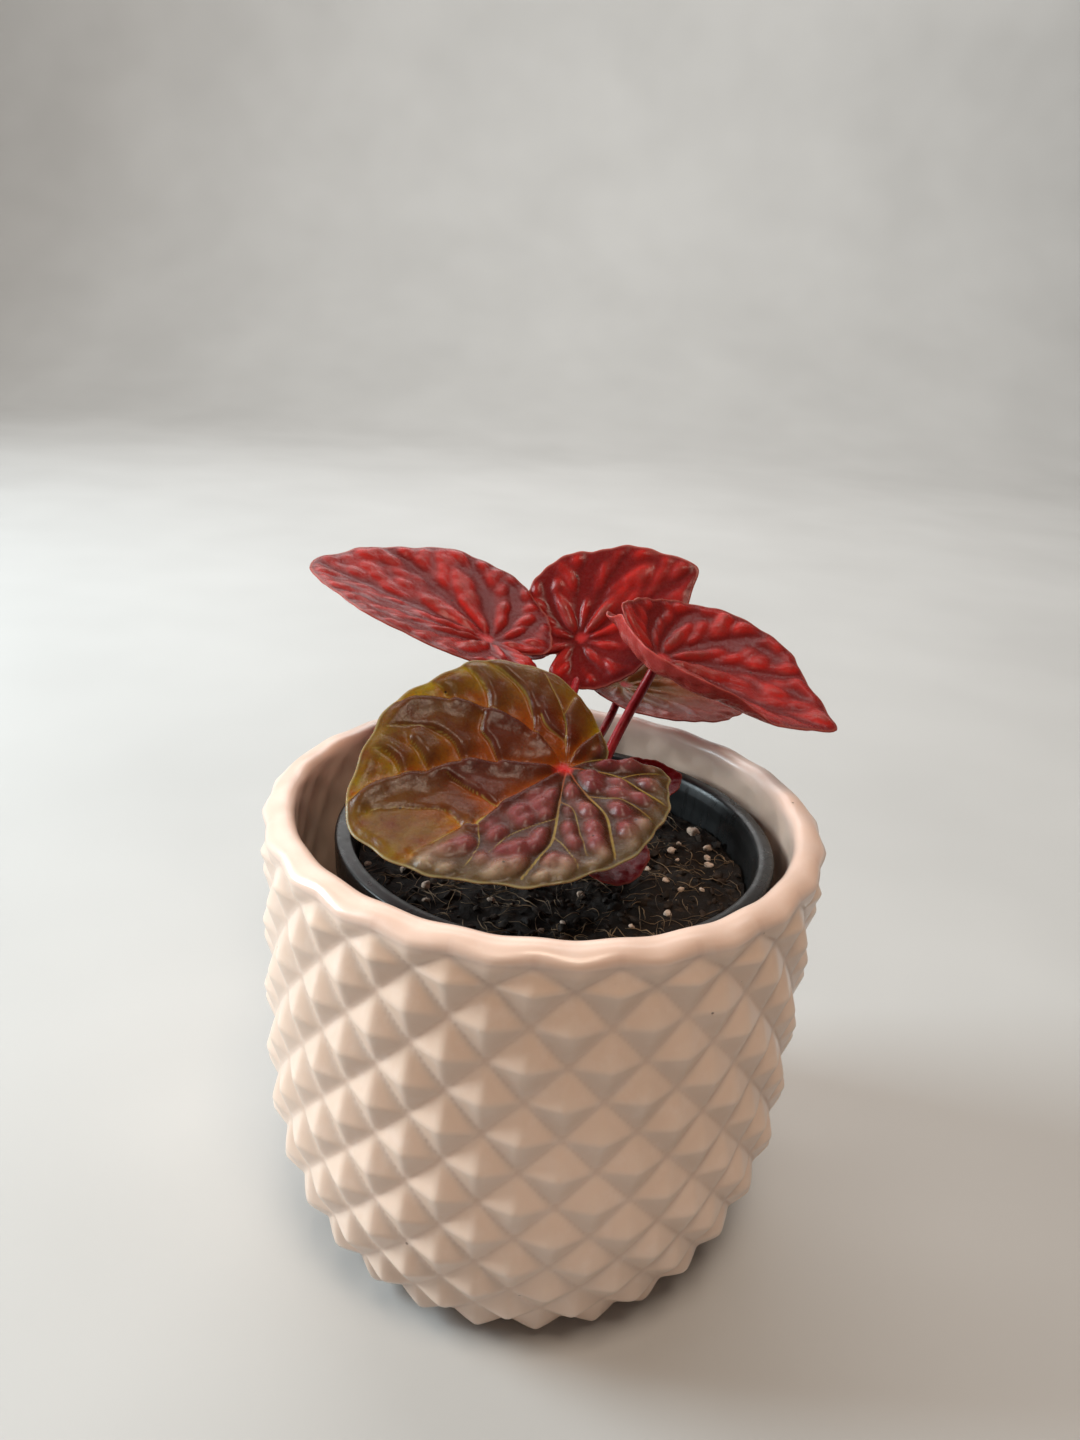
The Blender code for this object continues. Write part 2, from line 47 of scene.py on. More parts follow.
# Cover pot, as in the solid
POT_HEIGHT = 112.6
POT_RADIUS = 63.8
POT_WALL = 5.2
POT_BASE_RADIUS = 46.5
POT_FLOOR = 6.0
POT_CURVE_TOP = 48.0
POT_CURVE_DEPTH = 24.0
POT_CURVE_REACH = 50.0
CELLS_ROUND = 25
CELL_PITCH = 8.94
CELL_HEIGHT = 2.8
CELL_TOP_ROW = 104.4
CELL_TURN = math.radians(-14.03)
RIM_BAND_HEIGHT = 109.6
RIM_SCALLOP = 1.3
POT_COLUMNS = 16 * CELLS_ROUND
POT_ROW = 0.72
RIDGE_POWER = 14
TIP_SOFTNESS = 0.08
TIP_SINK = 0.03
GROOVE_SOFTNESS = 0.035
INNER_RELIEF = 0.55
BAND_SWELL = 0.8
LIP_WAVE = 0.22
# Out from the inner wall's foot and up from the floor
POT_CORNER = ((-9.0, 0.1), (-6.0, 0.6), (-3.2, 2.2), (-1.0, 5.0))
# Out from the inner wall and up from the top
POT_LIP = (
    (-0.05, -3.4), (0.0, -2.2), (0.15, -1.1), (0.55, -0.25), (1.25, 0.35),
    (2.3, 0.6), (3.4, 0.5), (4.5, 0.0), (5.35, -0.85), (5.85, -1.9),
)
# Where the wall's radius is read, how far in from it, and at what height
POT_FOOT = ((2.4, 0.1, 2.4), (1.6, 0.6, 1.4), (1.0, 1.8, 0.55))

# Nursery pot, as in the solid
NURSERY_X = 2.8
NURSERY_TOP = 105.3
NURSERY_RIM_RADIUS = 52.5
NURSERY_MOUTH_RADIUS = 48.5
NURSERY_BASE_RADIUS = 37.0
NURSERY_WALL = 1.1
NURSERY_LIP_DROP = 9.0
NURSERY_COLUMNS = 144
GAP = 0.3
NURSERY_UNDER = POT_FLOOR + GAP
DRAIN_HOLES = 6
DRAIN_RING = 22.0
DRAIN_RADIUS = 4.0
# The rolled lip: out from the mouth and down from the top, then in from the rim and down
# from the top, then in from the rim and up from the skirt's edge
NURSERY_LIP = (
    (-0.75, 3.6), (-0.6, 2.9), (-0.2, 1.4), (0.08, 0.5), (0.3, 0.18), (0.6, 0.0), (1.8, -0.02),
)
NURSERY_EDGE = ((0.9, 0.0), (0.4, 0.12), (0.1, 0.45), (0.0, 1.0))
NURSERY_SKIRT = ((0.25, 1.2), (0.4, 0.3), (0.7, 0.0), (1.2, 0.0), (1.35, 0.4))

# Soil and crown, as in the solids
SOIL_TOP = 96.5
SOIL_LUMPS = 1.4
STEM_HOLE_RADIUS = 5.0
STEM_HOLE_FLOOR = 84.0
CROWN_RADIUS = 4.6
CROWN_TOP = 101.5
CROWN_KNUCKLES = ((0.0, 0.0), (3.4, 0.0), (3.9, 3.0), (4.3, 7.0), (4.0, 9.0), (4.5, 11.5))
EXTRA_PERLITE = 20
CRUMBS = 520
FIBRES = 460
FIBRE_STEPS = 8
PERLITE = (
    (39.6, 22.5, 3.4), (42.3, 13.6, 2.3), (41.9, 9.5, 2.1), (41.8, 5.5, 2.3),
    (32.9, 10.3, 2.2), (9.8, -16.2, 2.2), (30.2, -6.1, 1.8), (33.6, -8.8, 1.8),
    (29.6, -21.0, 2.0), (-25.7, -19.5, 2.4), (-31.7, -13.1, 2.2), (-24.8, -26.3, 1.6),
    (-10.5, -22.8, 1.8), (-40.5, -11.3, 1.8), (1.2, -31.8, 1.6),
)

# Outlines of the blades, as in the solids
OUTLINE_DEGREES = (0, 8, 25, 50, 80, 110, 140, 163, 180)
HEART = (0.98, 0.93, 0.82, 0.69, 0.64, 0.53, 0.46, 0.38, 0.2)
ROUND_HEART = (0.96, 0.93, 0.86, 0.76, 0.65, 0.54, 0.47, 0.4, 0.2)
FRONT_SIDE = (0.96, 0.95, 0.865, 0.77, 0.645, 0.52, 0.45, 0.41, 0.2)
BACK_SIDE = (0.96, 0.92, 0.856, 0.73, 0.61, 0.465, 0.3, 0.24, 0.2)
BROAD_SIDE = (1.0, 0.95, 0.85, 0.77, 0.6, 0.45, 0.37, 0.34, 0.2)
NARROW_SIDE = (1.0, 0.9, 0.78, 0.69, 0.6, 0.5, 0.42, 0.36, 0.2)
CURLED_SIDE = (0.98, 0.9, 0.74, 0.56, 0.46, 0.4, 0.36, 0.32, 0.2)
SHORT_LOBE = (1.0, 0.94, 0.81, 0.69, 0.55, 0.42, 0.34, 0.29, 0.18)

# Leaves: the solids' own numbers, then what the finished surface adds. seed draws the
# veins and pucker is the height between them. beads is how strong the beads are, spacing
# and bead their distance and width, and stretch how much longer than wide they are.
# olive leans to a golden tone, and painted shade is a weight that darkens the small leaves.
# roll is a margin that curls up: which half, first and last degree, width as a share of
# the blade, and height. front marks the traced leaf
LEAVES = {
    "leaf_front": dict(
        seat=(4.1, -9.0, 125.0), tip=(-0.893, -0.434, -0.115), up=(0.065, -0.378, 0.924),
        length=53.0, halves=(FRONT_SIDE, BACK_SIDE), fold=0.28, droop=0.0,
        cup=-0.03, lobes=-0.04, stalk=1.35, root=-85, bow=0.5,
        front=True, seed=3, pucker=2.4, beads=0.8, spacing=3.3, bead=1.98, stretch=1.2,
    ),
    "leaf_left": dict(
        seat=(-18.1, 37.2, 139.3), tip=(-0.927, 0.183, 0.328), up=(0.302, -0.153, 0.941),
        length=52.4, halves=(SHORT_LOBE, SHORT_LOBE), fold=0.25, droop=0.19,
        cup=0.07, lobes=0.15, stalk=1.3, root=172, bow=0.6,
        seed=5, pucker=1.6, beads=0.8, spacing=2.7, bead=1.95, stretch=1.6,
    ),
    "leaf_back": dict(
        seat=(6.0, 52.0, 136.9), tip=(0.8, 0.14, 0.58), up=(-0.3, -0.76, 0.57),
        length=37.8, halves=(HEART, CURLED_SIDE), fold=0.1, droop=0.05,
        cup=0.05, lobes=0.08, stalk=1.25, root=107, bow=0.6,
        seed=8, pucker=1.5, beads=0.7, spacing=2.8, bead=2.0, stretch=1.7,
    ),
    "leaf_right": dict(
        seat=(25.6, 24.3, 142.7), tip=(0.897, -0.237, -0.373), up=(0.343, -0.161, 0.926),
        length=45.5, halves=(BROAD_SIDE, NARROW_SIDE), fold=0.25, droop=0.0,
        cup=0.18, lobes=0.42, stalk=1.3, root=38, bow=0.55,
        seed=13, pucker=1.5, beads=0.8, spacing=2.7, bead=1.95, stretch=1.6,
        roll=(-1, 25, 150, 0.34, 3.2),
    ),
    "leaf_back_right": dict(
        seat=(19.0, 55.0, 123.6), tip=(0.97, 0.2, -0.1), up=(0.05, -0.22, 0.97),
        length=39.0, halves=(SHORT_LOBE, SHORT_LOBE), fold=0.22, droop=0.2,
        cup=0.1, lobes=0.35, stalk=1.2, root=73, bow=0.45,
        seed=21, pucker=1.3, beads=0.6, spacing=2.7, bead=1.95, stretch=1.5, olive=0.7,
    ),
    "leaf_small_back": dict(
        seat=(-12.4, 60.2, 133.0), tip=(0.88, 0.42, 0.1), up=(-0.1, -0.5, 0.86),
        length=17.0, halves=(HEART, HEART), fold=0.25, droop=0.2,
        cup=0.1, lobes=0.2, stalk=0.8, root=140, bow=0.55,
        seed=34, pucker=0.7, beads=0.5, painted_shade=0.7, spacing=2.2, bead=1.5, stretch=1.5,
    ),
    "leaf_low_front": dict(
        seat=(13.0, -10.5, 106.0), tip=(0.32, -0.94, -0.05), up=(0.05, -0.1, 0.99),
        length=16.0, halves=(ROUND_HEART, ROUND_HEART), fold=0.35, droop=0.1,
        cup=0.25, lobes=0.2, stalk=0.9, root=-38, bow=0.4,
        seed=55, pucker=0.6, beads=0.4, painted_shade=1.0, spacing=2.2, bead=1.5, stretch=1.5,
    ),
    "leaf_low_right": dict(
        seat=(23.0, 19.0, 108.5), tip=(0.9, 0.36, 0.25), up=(-0.2, -0.45, 0.87),
        length=13.0, halves=(HEART, HEART), fold=0.55, droop=0.1,
        cup=0.1, lobes=0.1, stalk=0.8, root=5, bow=0.4,
        seed=89, pucker=0.5, beads=0.4, painted_shade=1.0, spacing=2.0, bead=1.4, stretch=1.5,
    ),
}

SMALL_LEAF = 20.0
BLADE_GRIDS = {"front": (448, 92), "big": (320, 60), "small": (144, 30)}
BLADE_THICK = 0.8
SMALL_BLADE_THICK = 0.6
BLADE_EDGE = 0.18
STALK_STEPS = 36
VEIN_STEPS = 5
# Waves of the margin: size, how many, how far the seed shifts them, and how late they rise
FRILLS = ((0.012, 11, 1, 6), (0.006, 29, 2.0, 8))
# Veins: how deep and how thin the main and side ones are, the angles that the main ones
# start at, and where along them and to which hand the side ones leave
MAIN_VEIN = (0.95, 0.34)
SIDE_VEIN = (0.6, 0.28)
VEIN_FAN = (0, 30, 62, 98, 138, -30, -62, -98, -138)
VEIN_BRANCHES = ((0.2, 1), (0.3, -1), (0.44, 1), (0.56, -1), (0.68, 1), (0.8, -1))

# Veins of the front leaf in its own plane, in millimetres: along to the tip, and across
FRONT_MAIN_VEINS = (
    ((0, 0), (3.7, -10.9), (11.8, -18.7), (19.1, -23.1), (26.2, -25.4), (33, -26.5)),
    ((0, 0), (14.4, -5.1), (22.7, -7.7), (30.1, -7.3), (40.8, -7.9), (50, -5.2)),
    ((0, 0), (11.2, 4.1), (19.1, 6.8), (25.7, 11.0), (28.6, 10.2)),
    ((0, 0), (6.1, 9.8), (13.0, 21.1), (17.5, 25.0), (24, 30)),
    ((0, 0), (-0.3, 10.5), (-0.8, 18.0), (1.5, 25.0), (5.0, 34)),
    ((0, 0), (-6.8, 3.4), (-10.4, 7.0), (-12.6, 13.0), (-14.9, 19.5), (-16, 25)),
    ((0, 0), (-7.5, -0.5), (-14.1, 0.2), (-19.3, 0.9)),
    ((0, 0), (-4.7, -4.1), (-9.4, -6.4), (-13, -8.5)),
    ((0, 0), (-2.9, -7.0), (-4.9, -12.6), (-4.8, -19.2), (-4.6, -26.8)),
)
FRONT_SIDE_VEINS = (
    ((3.7, -10.9), (2.2, -14.8), (1.8, -21.3), (4.5, -27.3), (7.6, -32)),
    ((11.8, -18.7), (10.5, -23.3), (11.4, -28.2), (14.2, -33)),
    ((19.5, -23.3), (20.5, -27.0), (23.5, -31.0)),
    ((14.4, -5.1), (14.4, -10.7), (15.3, -14.1), (13.4, -17.6)),
    ((22.2, -7.5), (22.6, -12.8), (25.8, -17.0), (30.2, -19.1), (37.5, -20.7), (43, -20.5)),
    ((36.3, -8.4), (36.5, -12.1), (38.6, -15.1), (41.6, -16.2), (46, -15.5)),
    ((30.1, -8.0), (30.4, -12.0), (31.8, -15.6)),
    ((19.1, 6.8), (22.0, 1.4), (25.0, -2.7), (27.0, -5.5)),
    ((28.6, 10.2), (29.8, 4.6), (33.3, 2.4), (39.9, -0.4), (45.5, -1.3)),
    ((25.7, 11.0), (28.1, 17.2), (32.0, 21.5), (37, 25)),
    ((28.6, 10.2), (34.5, 12.6), (41, 14.5)),
    ((8.4, 14.3), (10.3, 15.3), (15.5, 16.0), (21.0, 16.8), (27, 20.5)),
    ((12.7, 20.4), (12.0, 24.1), (12.2, 29.6), (13, 35)),
    ((-0.3, 10.5), (-2.6, 12.3), (-6.7, 15.0), (-8.8, 20.5), (-8.5, 27)),
    ((6.1, 9.8), (5.2, 15.0), (7.2, 21.5), (9.0, 29)),
    ((-5.1, -13.2), (-8.6, -16.5), (-11.6, -18.9)),
    ((-10.4, 7.0), (-15.5, 7.2), (-20.5, 9.0)),
    ((-2.9, -7.0), (0.0, -11.5), (0.4, -14.6)),
)

# Camera in metres and radians, solved from the photo
CAMERA_BACK = 0.2331
CAMERA_HEIGHT = 0.2262
CAMERA_YAW = -0.012
CAMERA_PITCH = 0.3799
CAMERA_ROLL = 0.074
CAMERA_LENS = 26.975
SENSOR = 36.0

# Stage in metres, and lights: name, place, aim, size, watts and colour
STAGE_SIZE = 3.0
STAGE_BACK = 0.6
WALL_HEIGHT = 2.2
WALL_BEND = 0.7
POT_MIDDLE = (0.0, 0.0, 0.09)
LIGHTS = (
    ("window_left", (-1.1, 0.1, 0.55), POT_MIDDLE, (0.45, 0.6), 21.0, (0.8, 0.94, 1.0)),
    ("sky_back", (-0.35, 1.0, 0.85), POT_MIDDLE, (1.2, 0.6), 4.5, (0.97, 0.985, 1.0)),
    ("ceiling", (0.12, -0.45, 1.3), POT_MIDDLE, (0.4, 0.4), 8.5, (1.0, 0.84, 0.68)),
    ("wall_wash", (0.0, 0.9, 1.9), (0.0, 2.1, 0.7), (2.0, 0.6), 34.0, (1.0, 1.0, 0.97)),
)
WORLD_COLOUR = (1.0, 0.9, 0.8)
WORLD_STRENGTH = 0.14


# Mesh helpers

def deselect():
    if bpy.context.mode != "OBJECT":
        bpy.ops.object.mode_set(mode="OBJECT")
    bpy.ops.object.select_all(action="DESELECT")


def pick(obj):
    deselect()
    obj.select_set(True)
    bpy.context.view_layer.objects.active = obj


def pick_edges(obj, wanted):
    """Opens a mesh for editing with the edges selected whose ends all pass a test."""
    bpy.ops.object.mode_set(mode="EDIT")
    bpy.ops.mesh.select_all(action="DESELECT")
    bpy.ops.object.mode_set(mode="OBJECT")
    for edge in obj.data.edges:
        edge.select = all(wanted(obj.data.vertices[end].co) for end in edge.vertices)
    bpy.ops.object.mode_set(mode="EDIT")
    bpy.ops.mesh.select_mode(type="EDGE")


def object_from(name, points, faces, edges=()):
    """An object from points in millimetres."""
    mesh = bpy.data.meshes.new(name)
    mesh.from_pydata((np.asarray(points) * MM).tolist(), edges, faces)
    mesh.validate()
    mesh.update()
    obj = bpy.data.objects.new(name, mesh)
    bpy.context.scene.collection.objects.link(obj)
    return obj


def mend(obj, weld=0.0):
    """Turns the faces outward, after near points are merged where weld is given."""
    work = bmesh.new()
    work.from_mesh(obj.data)
    if weld:
        bmesh.ops.remove_doubles(work, verts=work.verts, dist=weld)
    bmesh.ops.recalc_face_normals(work, faces=work.faces)
    work.to_mesh(obj.data)
    work.free()


def shade(obj, degrees=None):
    pick(obj)
    if degrees is None:
        bpy.ops.object.shade_smooth()
    else:
        bpy.ops.object.shade_smooth_by_angle(angle=math.radians(degrees))


def spun(name, profile, steps):
    """A closed turned shape: a profile from axis to axis, spun round Z in edit mode."""
    edges = [(index, index + 1) for index in range(len(profile) - 1)]
    obj = object_from(name, [(r, 0.0, z) for r, z in profile], [], edges)
    pick(obj)
    bpy.ops.object.mode_set(mode="EDIT")
    bpy.ops.mesh.select_all(action="SELECT")
    bpy.ops.mesh.spin(steps=steps, angle=2.0 * math.pi, center=(0, 0, 0), axis=(0, 0, 1))
    bpy.ops.mesh.select_all(action="SELECT")
    bpy.ops.mesh.remove_doubles(threshold=WELD)
    bpy.ops.mesh.normals_make_consistent(inside=False)
    bpy.ops.object.mode_set(mode="OBJECT")
    return obj


def points_of(obj):
    flat = np.empty(len(obj.data.vertices) * 3)
    obj.data.vertices.foreach_get("co", flat)
    return flat.reshape(-1, 3) / MM


def set_points(obj, points):
    obj.data.vertices.foreach_set("co", (np.asarray(points) * MM).ravel())
    obj.data.update()


def store(obj, name, values):
    layer = obj.data.attributes.new(name, "FLOAT", "POINT")
    layer.data.foreach_set("value", np.asarray(values, np.float32))


def place(obj, node, material, crease=None):
    """Shades a piece, gives it its material, puts it under the root, hides its node's solid."""
    shade(obj, crease)
    obj.data.materials.clear()
    obj.data.materials.append(material)
    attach(obj, "root")
    if node:
        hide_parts(node)


def smoothstep(low, high, x):
    t = np.clip((x - low) / (high - low), 0.0, 1.0)
    return t * t * (3.0 - 2.0 * t)


def noise_at(points, size, offset):
    """Smooth noise of about -1 to 1 at points in millimetres."""
    shift = Vector((offset, 2.0 * offset, -offset))
    return np.array([noise.noise(Vector(p) / size + shift) for p in points])


# Material helpers

def new_material(name):
    material = bpy.data.materials.new(name)
    material.use_nodes = True
    return material, material.node_tree


def feed(tree, socket, value):
    if isinstance(value, bpy.types.NodeSocket):
        tree.links.new(value, socket)
    elif isinstance(value, tuple) and len(value) == 3 and socket.type == "RGBA":
        socket.default_value = (*value, 1.0)
    else:
        socket.default_value = value


def object_coords(tree):
    return tree.nodes.new("ShaderNodeTexCoord").outputs["Object"]


def attribute(tree, name):
    reader = tree.nodes.new("ShaderNodeAttribute")
    reader.attribute_name = name
    return reader.outputs["Fac"]


def cloud(tree, size_mm, detail=4.0, roughness=0.55, stretch=None):
    texture = tree.nodes.new("ShaderNodeTexNoise")
    vector = object_coords(tree)
    if stretch:
        mapping = tree.nodes.new("ShaderNodeMapping")
        mapping.inputs["Scale"].default_value = stretch
        tree.links.new(vector, mapping.inputs["Vector"])
        vector = mapping.outputs["Vector"]
    tree.links.new(vector, texture.inputs["Vector"])
    texture.inputs["Scale"].default_value = 1.0 / (size_mm * MM)
    texture.inputs["Detail"].default_value = detail
    texture.inputs["Roughness"].default_value = roughness
    return texture.outputs["Fac"]


def grains_of(tree, size_mm):
    texture = tree.nodes.new("ShaderNodeTexVoronoi")
    tree.links.new(object_coords(tree), texture.inputs["Vector"])
    texture.inputs["Scale"].default_value = 1.0 / (size_mm * MM)
    return texture.outputs["Distance"]


def spread(tree, value, low, high, to_low=0.0, to_high=1.0):
    """Maps a value's range onto another, held at its ends."""
    node = tree.nodes.new("ShaderNodeMapRange")
    feed(tree, node.inputs["Value"], value)
    ends = {"From Min": low, "From Max": high, "To Min": to_low, "To Max": to_high}
    for key, end in ends.items():
        node.inputs[key].default_value = end
    return node.outputs["Result"]


def product(tree, first, second):
    """Two spreads multiplied, each given as a value and its ends."""
    node = tree.nodes.new("ShaderNodeMath")
    node.operation = "MULTIPLY"
    feed(tree, node.inputs[0], spread(tree, *first))
    feed(tree, node.inputs[1], spread(tree, *second))
    return node.outputs[0]


def blend(tree, share, first, second):
    node = tree.nodes.new("ShaderNodeMix")
    node.data_type = "RGBA"
    feed(tree, node.inputs[0], share)
    feed(tree, node.inputs[6], first)
    feed(tree, node.inputs[7], second)
    return node.outputs[2]


def ramp(tree, value, low, high, first, second):
    """Goes from one colour to another as a value goes from low to high."""
    return blend(tree, spread(tree, value, low, high), first, second)


def layered(tree, body, *layers):
    """Colours laid over a body in turn: each has a value, its ends if any, and a colour."""
    for value, ends, colour in layers:
        share = spread(tree, value, *ends) if ends else value
        body = blend(tree, share, body, colour)
    return body


def bumps(tree, height, strength, depth_mm, under=None):
    node = tree.nodes.new("ShaderNodeBump")
    node.inputs["Strength"].default_value = strength
    node.inputs["Distance"].default_value = depth_mm * MM
    feed(tree, node.inputs["Height"], height)
    if under is not None:
        tree.links.new(under, node.inputs["Normal"])
    return node.outputs["Normal"]


def finish(material, body, roughness, normal, fixed=None):
    """Feeds the shader, and sets the sockets that stay constant on the shader itself."""
    tree = material.node_tree
    inputs = tree.nodes["Principled BSDF"].inputs
    feed(tree, inputs["Base Color"], body)
    feed(tree, inputs["Roughness"], roughness)
    feed(tree, inputs["Normal"], normal)
    for key, value in (fixed or {}).items():
        inputs[key].default_value = value
    return material


# Cover pot

def pot_radius(height):
    share = np.clip((POT_CURVE_TOP - height) / POT_CURVE_REACH, 0.0, 1.0)
    return POT_RADIUS - POT_CURVE_DEPTH * (1.0 - np.sqrt(1.0 - share * share))


def pyramids(turn, height):
    """Height from 0 to 1 of the soft-edged pyramid relief at points on the wall."""
    u = (turn - CELL_TURN) * CELLS_ROUND / math.pi
    upper = (RIM_BAND_HEIGHT - height) / (RIM_BAND_HEIGHT - CELL_TOP_ROW)
    lower = 1.0 + (CELL_TOP_ROW - height) / CELL_PITCH
    v = np.where(height > CELL_TOP_ROW, np.maximum(upper, 0.0), lower)
    p = np.abs((u + v) % 2.0 - 1.0)
    q = np.abs((u - v) % 2.0 - 1.0)
    far = (p**RIDGE_POWER + q**RIDGE_POWER) ** (1.0 / RIDGE_POWER)
    up = 1.0 - (np.sqrt(far**2 + TIP_SOFTNESS**2) - TIP_SINK)
    soft = np.sqrt(np.maximum(up, -0.05) ** 2 + GROOVE_SOFTNESS**2)
    return soft * np.where(up > 0, 1.0, 0.8)


def cover_pot_profile():
    """From the middle of the floor, up inside, over the lip and down to the underside."""
    wall = POT_RADIUS - POT_WALL
    corner = pot_radius(POT_FLOOR) - POT_WALL
    inner = [(r, POT_FLOOR) for r in (0.0, *np.linspace(6.0, 32.0, 6))]
    inner += [(corner + out, POT_FLOOR + rise) for out, rise in POT_CORNER]
    inner += [(pot_radius(z) - POT_WALL, z) for z in np.linspace(18.0, POT_HEIGHT - 4.5, 50)]
    lip = [(wall + out, POT_HEIGHT + rise) for out, rise in POT_LIP]
    outer = [(pot_radius(z), z) for z in np.arange(RIM_BAND_HEIGHT, 3.0, -POT_ROW)]
    foot = [(pot_radius(near) - inset, z) for near, inset, z in POT_FOOT]
    foot += [(r, 0.0) for r in (POT_BASE_RADIUS, 40.0, 30.0, 18.0, 8.0, 0.0)]
    return inner + lip + outer + foot


def make_cover_pot():
    obj = spun("cover_pot_glazed", cover_pot_profile(), POT_COLUMNS)
    points = points_of(obj)
    x, y, z = points.T
    radius = np.hypot(x, y)
    turn = np.arctan2(x, -y)
    outside = (radius > pot_radius(z) - 1.2) & (z > 0.3)
    inside = (radius < pot_radius(z) - 3.0) & (z > 60.0) & (radius > 40.0)
    relief = pyramids(turn, z)
    band = np.clip((z - CELL_TOP_ROW) / (RIM_BAND_HEIGHT - CELL_TOP_ROW), 0.0, 1.0)
    strength = CELL_HEIGHT + band * (RIM_SCALLOP - CELL_HEIGHT)
    strength *= 1.0 - smoothstep(RIM_BAND_HEIGHT, POT_HEIGHT + 0.3, z)
    strength *= smoothstep(0.0, 5.0, z)
    push = np.where(outside, relief * strength, 0.0)
    # The relief shows through faintly on the inner wall, as on slip-cast ware
    ghost = smoothstep(75.0, 100.0, z) * (1.0 - smoothstep(108.5, 112.0, z))
    push += np.where(inside, INNER_RELIEF * (relief - 0.4) * ghost, 0.0)
    wobble = 0.18 * noise_at(points, 24.0, 3.0) + 0.04 * noise_at(points, 7.0, 9.0)
    push += wobble * smoothstep(0.5, 8.0, z) * (radius > 30.0)
    down = np.arctan((pot_radius(z + 1.0) - pot_radius(np.maximum(z - 1.0, 0.0))) / 2.0)
    band_swell = BAND_SWELL * smoothstep(102.0, 109.0, z) * outside
    grow = (push * np.cos(down) + band_swell) / np.maximum(radius, 1.0)
    lift = -push * np.sin(down) * outside
    lip_wave = LIP_WAVE * np.cos(turn * CELLS_ROUND - CELL_TURN * CELLS_ROUND)
    lift += lip_wave * smoothstep(110.4, 112.4, z)
    set_points(obj, np.stack([x * (1 + grow), y * (1 + grow), z + lift], 1))
    store(obj, "relief", np.where(outside, relief, 0.5))
    store(obj, "lip", smoothstep(107.5, 112.0, z))
    place(obj, "cover_pot", blush_glaze())


def blush_glaze():
    material, tree = new_material("blush_glaze_satin")
    relief, lip = attribute(tree, "relief"), attribute(tree, "lip")
    broad, mottle = cloud(tree, 38.0, 3.0), cloud(tree, 6.0, 5.0, 0.6)
    rare = (cloud(tree, 21.0, 2.0), 0.5, 0.56)
    pins = product(tree, (grains_of(tree, 9.5), 0.03, 0.048, 1.0, 0.0), rare)
    body = layered(
        tree, ramp(tree, broad, 0.35, 0.65, (0.72, 0.515, 0.395), (0.78, 0.57, 0.45)),
        (relief, (0.45, 1.0, 0.0, 0.55), (0.83, 0.64, 0.52)),  # tips
        (relief, (0.12, 0.0, 0.0, 0.35), (0.52, 0.3, 0.215)),  # grooves
        (lip, (0.0, 1.0, 0.0, 0.45), (0.8, 0.54, 0.455)),
        (mottle, (0.52, 0.75, 0.0, 0.3), (0.86, 0.7, 0.62)),
        (pins, None, (0.16, 0.075, 0.045)),  # pinholes
    )
    skin = bumps(tree, cloud(tree, 2.6, 3.0), 0.12, 0.25)
    pits = bumps(tree, spread(tree, pins, 0.0, 1.0, 1.0, 0.0), 0.8, 0.25, skin)
    return finish(material, body, spread(tree, mottle, 0.3, 0.75, 0.3, 0.44), pits, {
        "Coat Weight": 0.35, "Coat Roughness": 0.22, "Subsurface Weight": 0.08,
        "Subsurface Radius": (1.0, 0.6, 0.45), "Subsurface Scale": 0.0012,
    })


# Nursery pot

def nursery_inner(height):
    share = (height - NURSERY_UNDER) / (NURSERY_TOP - NURSERY_UNDER)
    base = NURSERY_BASE_RADIUS - NURSERY_WALL
    return base + share * (NURSERY_MOUTH_RADIUS - base)


def nursery_profile():
    """From the middle of the floor, up inside, over the rolled lip and down its skirt."""
    under, top = NURSERY_UNDER, NURSERY_TOP
    floor = under + NURSERY_WALL
    skirt = top - NURSERY_LIP_DROP
    neck = nursery_inner(skirt) + NURSERY_WALL
    mouth, rim = NURSERY_MOUTH_RADIUS, NURSERY_RIM_RADIUS
    inside = [(0.0, floor), (nursery_inner(floor) - 1.6, floor)]
    inside += [(nursery_inner(floor + 0.5) - 0.4, floor + 0.5)]
    inside += [(nursery_inner(z), z) for z in (*np.linspace(floor + 2.0, 92.0, 12), 94.0)]
    swollen = ((96.0, 0.02), (98.0, 0.05), (100.0, 0.05))
    inside += [(nursery_inner(z) + out, z) for z, out in swollen]
    lip = [(mouth + out, top - drop) for out, drop in NURSERY_LIP]
    lip += [(rim - inset, top - drop) for inset, drop in NURSERY_EDGE]
    lip += [(rim - inset, skirt + rise) for inset, rise in NURSERY_SKIRT]
    lip += [(rim - 1.3, top - 2.4), (neck + 1.2, top - 2.2)]
    lip += [(neck + 0.3, top - 3.2), (neck + 0.05, skirt)]
    outside = [(nursery_inner(z) + NURSERY_WALL, z) for z in np.linspace(88.0, 12.0, 8)]
    base = NURSERY_BASE_RADIUS
    foot = [(base + 0.5, under + 3.0), (base + 0.1, under + 0.6), (base - 0.6, under)]
    return inside + lip + outside + foot + [(0.0, under)]


def make_nursery_pot():
    obj = spun("nursery_pot_moulded", nursery_profile(), NURSERY_COLUMNS)
    obj.data.transform(Matrix.Translation((NURSERY_X * MM, 0, 0)))
    for index in range(DRAIN_HOLES):
        angle = 2.0 * math.pi * index / DRAIN_HOLES
        x, y = DRAIN_RING * math.cos(angle), DRAIN_RING * math.sin(angle)
        deselect()
        bpy.ops.mesh.primitive_cylinder_add(
            vertices=24, radius=DRAIN_RADIUS * MM, depth=4.0 * MM,
            location=((NURSERY_X + x) * MM, y * MM, (NURSERY_UNDER + 0.5) * MM),
        )
        cutter = bpy.context.active_object
        cut = obj.modifiers.new("drain", "BOOLEAN")
        cut.operation = "DIFFERENCE"
        cut.object = cutter
        pick(obj)
        bpy.ops.object.modifier_apply(modifier="drain")
        bpy.data.objects.remove(cutter)
    place(obj, "nursery_pot", black_plastic(), 40)


